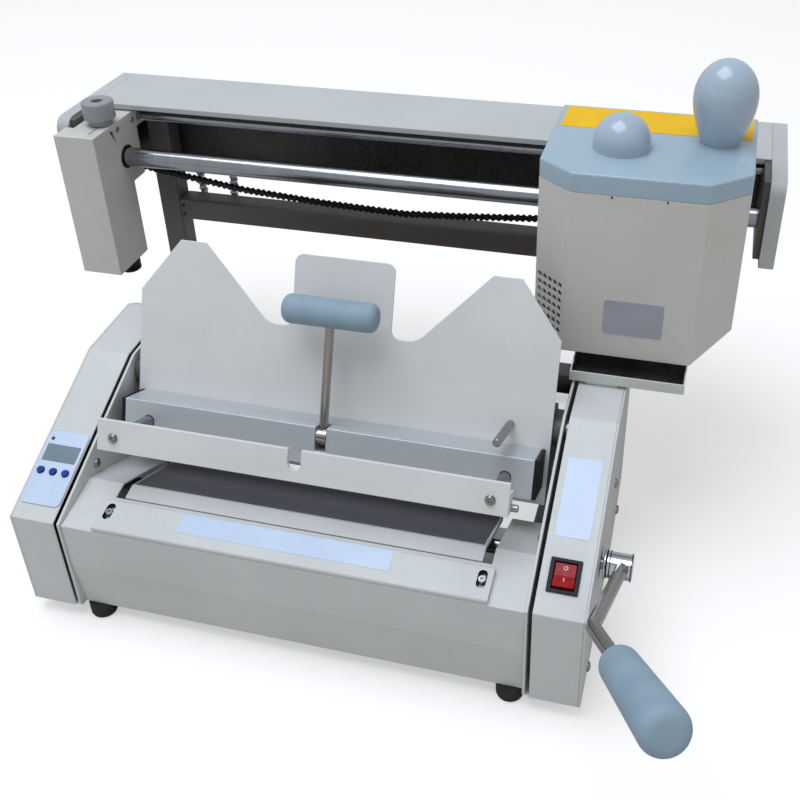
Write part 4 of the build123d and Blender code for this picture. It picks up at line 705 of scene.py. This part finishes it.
half, notch, tall = clamp["barHalf"], clamp["notchHalf"], clamp["barHeight"]
outline = [(-half, 0), (half, 0), (half, tall), (notch, tall), (notch, clamp["notchFloor"]),
           (-notch, clamp["notchFloor"]), (-notch, tall), (-half, tall)]
bar = outlinePlate(outline, clamp["barThickness"], (4, 5), notch - 0.3)
bar.transform(upright)
for side in (-1, 1):
    low, high = sorted((side * half, side * (half - 2.0)))
    addShape(bar, box((low, -0.1, 0), (high, 14.0, 17.3)))
finishPiece(bar, "frontBar", "clamp", "lighterLitPowderCoat", clampPlace, ("front_bar",), edge=0.5)
stubs = bmesh.new()
for side in (-1, 1):
    addShape(stubs, turned([(0, -0.5), (3.1, -0.5), (3.1, 7.3), (2.5, 7.9), (0, 7.9)], 24),
             Matrix.Translation((side * (half - 2.0), 9.0, 3.9))
             @ Matrix.Rotation(math.radians(90 * side), 4, "Y"))
finishPiece(stubs, "barStubs", "clamp", "zincPlate", clampPlace, sharp=25)

stopPin = {"at": (159.6, 93.2, 48.3), "sides": 56, "radius": 3.8, "knurl": 0.94, "length": 61.2}
pins = bmesh.new()
pin = bmesh.new()
bmesh.ops.create_circle(pin, cap_ends=True, segments=stopPin["sides"], radius=stopPin["radius"])
ridges = sorted(pin.verts, key=lambda vert: math.atan2(vert.co.y, vert.co.x))
bmesh.ops.scale(pin, vec=(stopPin["knurl"], stopPin["knurl"], 1), verts=ridges[::2])  # straight knurl
grown = bmesh.ops.extrude_face_region(pin, geom=pin.faces[:])
moved = [part for part in grown["geom"] if isinstance(part, bmesh.types.BMVert)]
bmesh.ops.translate(pin, vec=(0, 0, stopPin["length"]), verts=moved)
addShape(pin, turned([(0, 61.2), (3.1, 61.2), (2.4, 62.0), (0, 62.0)], 32))
bmesh.ops.recalc_face_normals(pin, faces=pin.faces)
addShape(pins, pin, Matrix.Translation(stopPin["at"]) @ upright)
for x in (-clamp["screwX"], clamp["screwX"]):
    washer = turned([(0, 0), (4.5, 0), (4.5, 0.5), (4.2, 0.8), (3.7, 0.8), (3.7, 2.1), (3.2, 2.6),
                     (1.9, 2.6), (1.6, 2.2), (1.6, 1.0), (0, 1.0)], 24)
    addShape(pins, washer, Matrix.Translation((x, -clamp["barThickness"], clamp["screwW"])) @ upright)
finishPiece(pins, "clampPins", "clamp", "zincPlate", clampPlace, ("clamp_pins",), sharp=25)


def grip(smallRadius, largeRadius, length, softness, roundSteps=8):
    softSmall, softLarge = smallRadius * softness, largeRadius * softness
    profile = [(0, 0)]
    for step in range(roundSteps + 1):
        turn = step / roundSteps * math.pi / 2
        profile.append((smallRadius - softSmall * (1 - math.sin(turn)), softSmall * (1 - math.cos(turn))))
    for step in range(roundSteps + 1):
        turn = step / roundSteps * math.pi / 2
        profile.append((largeRadius - softLarge * (1 - math.cos(turn)),
                        length - softLarge * (1 - math.sin(turn))))
    profile.append((0, length))
    return turned(profile)


lever = {"v": 63.5, "w": 131.0, "length": 85.4, "radius": 13.0, "softness": 0.55}
finishPiece(grip(lever["radius"], lever["radius"], lever["length"], lever["softness"]), "leverGrip",
            "jaw_lever", "softGrip",
            clampPlace @ Matrix.Translation((-lever["length"] / 2, lever["v"], lever["w"])) @ alongX,
            ("lever_grip",), sharp=70)

crank = {"hub": (84.0, 97.7), "rodAt": 270.6, "reach": 157.2, "rise": 28.7, "lean": 3.7, "bendOut": 20.4,
         "neck": 60.5, "length": 99.5, "small": 13.8, "large": 16.2, "softness": 0.5,
         "chromeTo": 279, "chromeRadius": 14, "ringsAt": (256.9, 259.4, 277.2)}
paintWhere(dressed["crank_arm"], "chromePlate",
           lambda at: at.x < crank["chromeTo"]
           and math.hypot(at.y - crank["hub"][0], at.z - crank["hub"][1]) < crank["chromeRadius"])
rise, lean, out = (math.radians(crank[key]) for key in ("rise", "lean", "bendOut"))
flatRun = Vector((0, -math.cos(rise), math.sin(rise)))
firstRun = flatRun * math.cos(lean) - Vector((math.sin(lean), 0, 0))
lastRun = Vector((math.sin(out), 0, 0)) + flatRun * math.cos(out)
rodStart = Vector((crank["rodAt"], *crank["hub"]))
gripStart = rodStart + firstRun * crank["reach"] + lastRun * crank["neck"]
finishPiece(grip(crank["small"], crank["large"], crank["length"], crank["softness"]), "crankGrip", "crank",
            "softGrip", machinePlace @ towards(gripStart, lastRun), ("crank_grip",), sharp=70)
rings = bmesh.new()
for x in crank["ringsAt"]:
    band = turned([(11.0, 0), (11.9, 0), (11.9, 0.9), (11.0, 0.9), (11.0, 0)], 40)
    addShape(rings, band, Matrix.Translation((x, *crank["hub"])) @ sideways)
finishPiece(rings, "hubRings", "crank", "blackOxide")
print("clamp and levers made")

# screws: domed heads with a cross recess, gauge screws, and the blocks that hold the lead
screw = {"panelX": 252.0, "panel": ((170.0, 112.7), (219.0, 38.0), (37.0, 23.0)),
         "innerX": 203.5, "inner": (69.0, 128.0), "gaugeX": 165.0, "gaugeV": 20.0}
arm, slot = 2.2, 0.45
cross = outlinePlate([
    (arm, -slot), (arm, slot), (slot, slot), (slot, arm), (-slot, arm), (-slot, slot), (-arm, slot),
    (-arm, -slot), (-slot, -slot), (-slot, -arm), (slot, -arm), (slot, -slot)], 3.0)
cross.transform(Matrix.Translation((0, 0, 1.2)))
domed = turned([(0, 0), (4.5, 0), (4.5, 0.5), (4.2, 1.3), (3.4, 2.0), (2.2, 2.45), (0, 2.6)], 28)
domed = carve(domed, cross)
fasteners = bmesh.new()
for y, z in screw["panel"]:
    addShape(fasteners, domed, Matrix.Translation((screw["panelX"], y, z)) @ sideways, keep=True)
    addShape(fasteners, domed, Matrix.Translation((-screw["panelX"], y, z)) @ halfTurn @ sideways, keep=True)
y, z = screw["inner"]
addShape(fasteners, domed, Matrix.Translation((-screw["innerX"], y, z)) @ sideways, keep=True)
addShape(fasteners, domed, Matrix.Translation((screw["innerX"], y, z)) @ halfTurn @ sideways)
intoGauge = machinePlace.inverted() @ gaugePlace
for x in (-screw["gaugeX"], screw["gaugeX"]):
    pan = turned([(0, -4), (2, -4), (2, 2.7), (3.4, 2.7), (3.4, 4.5), (3.0, 5.0), (1.4, 5.0), (1.2, 3.8),
                  (0, 3.8)], 24)
    addShape(fasteners, pan, intoGauge @ Matrix.Translation((x, screw["gaugeV"], 0)))
finishPiece(fasteners, "coverScrews", "machine", "zincPlate", stands=("cover_screws",), sharp=28)
clips = {"rivetX": -281.3, "tubeFront": 425.5, "rivets": (207.0, 196.0), "legs": (-274.0, -232.0),
         "half": 4.5, "y": (450.5, 457.5), "z": (196.8, 206.8)}
small = bmesh.new()
for z in clips["rivets"]:
    addShape(small, turned([(0, 0), (1.8, 0), (1.6, 0.7), (0, 0.9)], 16),
             Matrix.Translation((clips["rivetX"], clips["tubeFront"], z)) @ upright)
for x in clips["legs"]:
    addShape(small, box((x - clips["half"], clips["y"][0], clips["z"][0]),
                        (x + clips["half"], clips["y"][1], clips["z"][1])))
finishPiece(small, "tubeClips", "machine", "blackMoulding", sharp=35)

# the panel's lamp and the switch's marks
lampProfile = [(0, 0), (1.7, 0), (1.5, 0.5), (0.9, 0.9), (0, 1.0)]
finishPiece(turned(lampProfile, 20), "statusLamp", "machine", "darkLens",
            slopePlace @ Matrix.Translation((-244.0, 78.0, 1.2)), sharp=60)
switch = {"at": (228.9, 34.0), "pivot": -3.0, "angle": -8.0, "faceLean": 7.67, "dip": 0.6, "ink": 0.12,
          "offAt": 6.4}
rocking = (slopePlace @ Matrix.Translation((*switch["at"], switch["pivot"]))
           @ Matrix.Rotation(math.radians(switch["angle"]), 4, "X")
           @ Matrix.Translation((0, 0, -switch["pivot"])))
marks = bmesh.new()
faceLean = math.radians(switch["faceLean"])
ring = turned([(1.25, 0), (1.75, 0), (1.75, switch["ink"]), (1.25, switch["ink"]), (1.25, 0)], 28)
addShape(marks, ring, Matrix.Translation((0, 0, switch["dip"])) @ Matrix.Rotation(faceLean, 4, "X")
         @ Matrix.Translation((0, switch["offAt"], 0)))
addShape(marks, box((-0.3, -5.4, 0), (0.3, -2.4, switch["ink"])),
         Matrix.Translation((0, 0, switch["dip"])) @ Matrix.Rotation(-faceLean, 4, "X"))
finishPiece(marks, "switchMarks", "rocker_key", "paleInk", rocking)
contacts = bmesh.new()
for x, y in ((-4.0, 0), (4.0, 0), (0, 4.5)):
    addShape(contacts, box((228.95 + x, 240.5, 102.0 + y), (230.55 + x, 252.0, 105.0 + y)))
finishPiece(contacts, "inletContacts", "machine", "zincPlate")
print("screws, switch and panel details made")

# roller chain: plates and rollers set along the sag, one per pitch
chain = {
    "y": 414.0, "pitch": 6.35, "plateHalf": 2.7, "plate": 0.8, "plateStep": 0.9, "endRound": 2.4,
    "roller": 2.1, "width": 7.6, "lastX": 340.0,
    "sag": ((-346.6, 262), (-275, 251), (-195, 240), (-103, 234), (-12.6, 231), (46, 234.5), (127, 241),
            (247.25, 245.5), (346.6, 262)),
}
links = bmesh.new()
reach = chain["pitch"] / 2
for inner in (0, 1):
    pattern = bmesh.new()
    gap = chain["width"] / 2 - chain["plateStep"] * (1 + inner)
    # a quarter of the waisted plate, mirrored both ways
    quarter = [(reach + chain["endRound"], 1.1), (reach + 1.1, chain["plateHalf"]),
               (reach - 1.2, chain["plateHalf"]), (0.9, 1.5)]
    oval = quarter + [(-x, z) for x, z in reversed(quarter)]
    oval += [(-x, -z) for x, z in quarter] + [(x, -z) for x, z in reversed(quarter)]
    for side in (-1, 1):
        addShape(pattern, outlinePlate(oval, chain["plate"]),
                 Matrix.Translation((0, side * gap + chain["plate"] / 2, 0)) @ upright)
    addShape(pattern, cylinder(chain["roller"], -gap, gap, 8), Matrix.Translation((reach, 0, 0)) @ upright)
    walked, due = 0.0, reach + inner * chain["pitch"] + chain["endRound"]
    for (xa, za), (xb, zb) in zip(chain["sag"], chain["sag"][1:]):
        run = math.dist((xa, za), (xb, zb))
        while due <= walked + run:
            share = (due - walked) / run
            x, z = xa + (xb - xa) * share, za + (zb - za) * share
            if x < chain["lastX"]:
                addShape(links, pattern, Matrix.Translation((x, chain["y"], z))
                         @ Matrix.Rotation(-math.atan2(zb - za, xb - xa), 4, "Y"), keep=True)
            due += 2 * chain["pitch"]
        walked += run
    pattern.free()
finishPiece(links, "driveChain", "machine", "blackOxide", stands=("drive_chain",), sharp=35)

# wrapped lead: a smooth line through the beam and round the cross tube, and the wrap's coil on it
# the spline rounds the route's corners more than the CAD's lead does, so it is 60 mm shorter
lead = {
    "y": 462.0, "radius": 3.8, "wrap": 1.4, "turn": 6.5, "stepsPerTurn": 9,
    "route": ((-346.6, 300.0), (-274.0, 300.0), (-274.0, 180.0), (-232.0, 180.0), (-232.0, 300.0),
              (346.6, 300.0)),
}
line = bpy.data.curves.new("leadLine", "CURVE")
line.dimensions = "3D"
spline = line.splines.new("NURBS")
spline.points.add(len(lead["route"]) - 1)
for point, (x, z) in zip(spline.points, lead["route"]):
    point.co = (*(machinePlace @ Vector((x, lead["y"], z))), 1)
spline.order_u = 3
spline.use_endpoint_u = True
line.resolution_u = 24
core = bpy.data.objects.new("wrappedLead", line)
bpy.context.scene.collection.objects.link(core)
bpy.context.view_layer.update()
walk = bpy.data.meshes.new_from_object(core.evaluated_get(bpy.context.evaluated_depsgraph_get()))
points = [vert.co.copy() for vert in walk.vertices]
bpy.data.meshes.remove(walk)
line.bevel_depth = lead["radius"] * mm
line.bevel_resolution = 3
line.use_fill_caps = True
line.materials.append(finishes["leadJacket"])
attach(core, "machine")
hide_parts("cable_harness")
coil = bpy.data.curves.new("leadWrapLine", "CURVE")
coil.dimensions = "3D"
turns = []
step, walked, due = lead["turn"] / lead["stepsPerTurn"], 0.0, 0.0
for a, b in zip(points, points[1:]):
    run = (b - a).length / mm
    ahead = (b - a).normalized()
    across = Vector((0, 1, 0))
    other = ahead.cross(across)
    while due <= walked + run:
        middle = a + (b - a) * ((due - walked) / run)
        angle = due / lead["turn"] * math.tau
        turns.append(middle + (across * math.cos(angle) + other * math.sin(angle)) * lead["radius"] * mm)
        due += step
    walked += run
spline = coil.splines.new("POLY")
spline.points.add(len(turns) - 1)
for point, place in zip(spline.points, turns):
    point.co = (*place, 1)
coil.bevel_depth = lead["wrap"] * mm
coil.bevel_resolution = 1
coil.materials.append(finishes["spiralWrap"])
wrap = bpy.data.objects.new("leadWrap", coil)
bpy.context.scene.collection.objects.link(wrap)
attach(wrap, "machine")
print("chain and lead made, lead", round(walked), "mm")

# floor and light: pale floor, white surroundings, soft overhead lamp
studio = {
    "floor": "#CFCCC8", "floorHalf": 12.0, "floorRoughness": 0.8, "floorGlow": 0.45,
    "worldColour": "#F7FAFF", "worldStrength": 0.52, "glossStrength": 0.66,
    "lampColour": "#E6F0FF", "lampPower": 80.0, "lampSize": (2.6, 2.2), "lampAt": (-0.5, -0.35, 3.4),
}
ground = bmesh.new()
bmesh.ops.create_grid(ground, x_segments=1, y_segments=1, size=studio["floorHalf"])
floor = asObject(ground, "studioFloor")
paper = bpy.data.materials.new("palePaperFloor")  # even pale sweep, quite matt
paper.use_nodes = True
paperShader = paper.node_tree.nodes["Principled BSDF"]
paperShader.inputs["Base Color"].default_value = linearColour(studio["floor"])
paperShader.inputs["Roughness"].default_value = studio["floorRoughness"]
paperShader.inputs["Emission Color"].default_value = linearColour("#FFFFFF")
view = addNode(paper.node_tree, "LightPath")
glow = addNode(paper.node_tree, "Math", {"operation": "MULTIPLY"}, {
    0: view.outputs["Is Camera Ray"], 1: studio["floorGlow"]})
paper.node_tree.links.new(glow.outputs[0], paperShader.inputs["Emission Strength"])
floor.data.materials.append(paper)

world = bpy.data.worlds.new("whiteSurroundings")
bpy.context.scene.world = world
world.use_nodes = True
tree = world.node_tree
background = tree.nodes["Background"]
rays = addNode(tree, "LightPath")
shiny = addNode(tree, "MapRange", inputs={
    "Value": rays.outputs["Is Glossy Ray"], "To Min": studio["worldStrength"],
    "To Max": studio["glossStrength"]})
strength = addNode(tree, "Math", {"operation": "MAXIMUM"}, {
    0: shiny.outputs["Result"], 1: rays.outputs["Is Camera Ray"]})
tree.links.new(strength.outputs[0], background.inputs["Strength"])
background.inputs["Color"].default_value = linearColour(studio["worldColour"])

lampData = bpy.data.lights.new("softOverhead", "AREA")
lampData.shape = "RECTANGLE"
lampData.size, lampData.size_y = studio["lampSize"]
lampData.energy = studio["lampPower"]
lampData.color = linearColour(studio["lampColour"])[:3]
lamp = bpy.data.objects.new("softOverhead", lampData)
lamp.matrix_world = towards(studio["lampAt"], Vector(studio["lampAt"]) - Vector((0, 0, 0.2)))
bpy.context.scene.collection.objects.link(lamp)
bpy.context.scene.view_settings.view_transform = "Standard"
